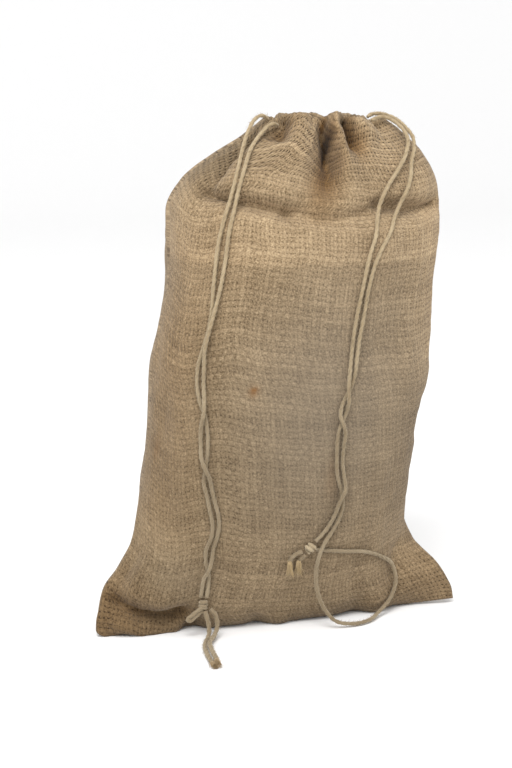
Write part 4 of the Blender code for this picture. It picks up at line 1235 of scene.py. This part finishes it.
def twine_material(name, gain, low_tint):
    """Two-ply jute twine: pale, with fine fibres along each ply and darker flecks."""
    graph = Graph(name)
    around, along = graph.places("twine")
    fibres = graph.noise(graph.vector(around * TWINE_FIBRES[0], along * TWINE_FIBRES[1]), detail=4.0)
    across_fleck, along_fleck, layer = TWINE_FLECKS
    flecks = graph.noise(graph.vector(around * across_fleck, along * along_fleck, layer),
                         detail=3.0)
    drift = graph.noise(graph.vector(0.0, along * TWINE_DRIFT[0], TWINE_DRIFT[1]), detail=3.0)
    pale = fibres * FIBRE_SHARE + drift - TWINE_DEEPEN
    colour = graph.mix(graph.span(pale, *PALE_FROM_TO), TWINE_MIDDLE, TWINE_PALE)
    colour = graph.mix(graph.span(flecks, *FLECK_FROM_TO), colour, TWINE_DARK)
    colour = graph.tint(colour, gain)
    height = graph.axes(graph.node("NewGeometry")[0])[2]
    # darker and greyer towards the bottom
    colour = graph.mix(graph.span(height, *TWINE_DARKER_LOW), colour, graph.tint(colour, low_tint))
    return graph.coated(Base_Color=colour, Roughness=0.85, Specular_IOR_Level=0.2, Sheen_Weight=0.6,
                        Sheen_Tint=TWINE_SHEEN, Normal=graph.bump(fibres, *TWINE_RELIEF))


# ---- the part ---------------------------------------------------------------------

HESSIAN = hessian_material()
JUTE_TWINE = twine_material("jute_twine_fibres", (0.98, 0.95, 0.90), (0.66, 0.66, 0.68))
# the same twine, lighter and without the darkening towards the bottom, for the right knot
JUTE_TWINE_LIGHTER = twine_material("jute_twine_lighter", (1.0, 1.0, 1.0), (0.95, 0.95, 0.95))
JUTE_BROWN = twine_material("jute_twine_brown", (1.30, 1.15, 0.95), (0.9, 0.9, 0.9))
JUTE_FIBRE = twine_material("jute_fibre", (1.2, 1.1, 0.9), (1.0, 1.0, 1.0))
make_cloth(HESSIAN)

LEFT_KNOT = make_knot("left_knot", JUTE_TWINE)
RIGHT_KNOT = make_knot("right_knot", JUTE_TWINE_LIGHTER)
# Frayed ends: where they start, which way they point, how far the fibres spread, how many they
# are, how long, their look and their seed.
FRAYS = {end.replace("fray", "tail"): make_fray(end, *row) for end, *row in (
    ("left_fray_a", (-62.3, -103.0, 1.8), (0.10, -1.0, 0.0), 0.06, 120, 6.5, JUTE_BROWN, 31),
    ("left_fray_b", (-59.4, -102.5, 3.3), (-0.12, -1.0, -0.12), 0.06, 120, 6.5, JUTE_BROWN, 32),
    ("right_fray_a", (4.9, -60.4, 45.6), (-0.06, -0.05, -1.0), 0.05, 130, 8.0, JUTE_FIBRE, 33),
    ("right_fray_b", (-0.7, -60.4, 45.8), (-0.02, -0.05, -1.0), 0.05, 130, 8.0, JUTE_FIBRE, 34),
)}
# The two ends at the right knot are too short to be cords of their own.
# They are combed out into fibre over their last millimetres.
SHORT_ENDS = [make_strand(name, ROUTES[name][:-1], JUTE_TWINE, seed, True)[0]
              for name, seed in (("right_tail_a", 17), ("right_tail_b", 18))]

# Cords: the far end, the pieces that belong to it, how it lies, and its seed.
for cord_name, end, others, lies, seed in (
        ("left_strand_a", "knot", [LEFT_KNOT], "hanging", 11),
        ("left_strand_b", "knot", [LEFT_KNOT], "hanging", 12),
        ("right_strand_a", "knot",
         [RIGHT_KNOT, FRAYS["right_tail_a"], FRAYS["right_tail_b"], *SHORT_ENDS], "hanging", 13),
        ("right_strand_b", "knot", [RIGHT_KNOT], "hanging", 14),
        ("left_tail_a", "bare", [FRAYS["left_tail_a"]], "loose", 15),
        ("left_tail_b", "bare", [FRAYS["left_tail_b"]], "loose", 16)):
    make_cord(cord_name, ROUTES[cord_name], JUTE_TWINE, end, seed)

# ---- stage, light and camera ------------------------------------------------------

# Where each stands: the angle round, the angle up, in degrees, and the distance in metres.
CAMERA_PLACE = (-16.0, 12.0, 1.1)
LAMP_PLACE = (-25.0, 55.0, 1.5)
TARGET = Vector((-0.0055, 0.0, 0.148))  # what both are turned to
CAMERA_LENS = 79.73
CAMERA_SENSOR = 36.0
CAMERA_NEAR = 0.01
LAMP_SIZE = 0.7
LAMP_WATTS = 16.0
FLOOR_HALF = 3.0
FLOOR_BEND = 0.8
FLOOR_STEPS = 16
BACKDROP_HIGH = 2.5
FLOOR_DROP = 0.0002  # keeps the floor clear of the part's underside


def set_up(name, data, azimuth, elevation, distance):
    """A camera or lamp at its place, turned to the target."""
    azimuth, elevation = math.radians(azimuth), math.radians(elevation)
    back = Vector((math.sin(azimuth) * math.cos(elevation),
                   -math.cos(azimuth) * math.cos(elevation), math.sin(elevation)))
    thing = linked(name, data)
    thing.location = TARGET + back * distance
    thing.rotation_euler = (-back).to_track_quat("-Z", "Y").to_euler()
    return thing


def add_stage():
    """A pale floor that bends up into a backdrop behind the part."""
    profile = [(-FLOOR_HALF, 0.0)]
    profile += [(FLOOR_HALF - FLOOR_BEND + FLOOR_BEND * math.sin(angle),
                 FLOOR_BEND - FLOOR_BEND * math.cos(angle))
                for angle in np.linspace(0.0, math.pi / 2, FLOOR_STEPS)]
    profile.append((FLOOR_HALF, BACKDROP_HIGH))
    points = [(side * FLOOR_HALF, y, z - FLOOR_DROP) for y, z in profile for side in (-1, 1)]
    faces = [(2 * row, 2 * row + 1, 2 * row + 3, 2 * row + 2) for row in range(len(profile) - 1)]
    paper = Graph("floor_paper").coated(Base_Color=(0.93, 0.93, 0.93), Roughness=0.95,
                                        Specular_IOR_Level=0.1)
    floor = add_mesh("floor", points, faces, paper)


LENS = bpy.data.cameras.new("camera")
LENS.sensor_width = CAMERA_SENSOR
LENS.lens = CAMERA_LENS
LENS.clip_start = CAMERA_NEAR
bpy.context.scene.camera = set_up("camera", LENS, *CAMERA_PLACE)
LIGHT = bpy.data.lights.new("key_light", "AREA")
LIGHT.size = LAMP_SIZE
LIGHT.energy = LAMP_WATTS
set_up("key_light", LIGHT, *LAMP_PLACE)
add_stage()
WORLD = bpy.data.worlds.new("studio")
WORLD.use_nodes = True
SKY = WORLD.node_tree.nodes["Background"]
SKY.inputs["Color"].default_value = (1.0, 1.0, 1.0, 1.0)
SKY.inputs["Strength"].default_value = 1.0
bpy.context.scene.world = WORLD
bpy.context.scene.view_settings.view_transform = "Standard"
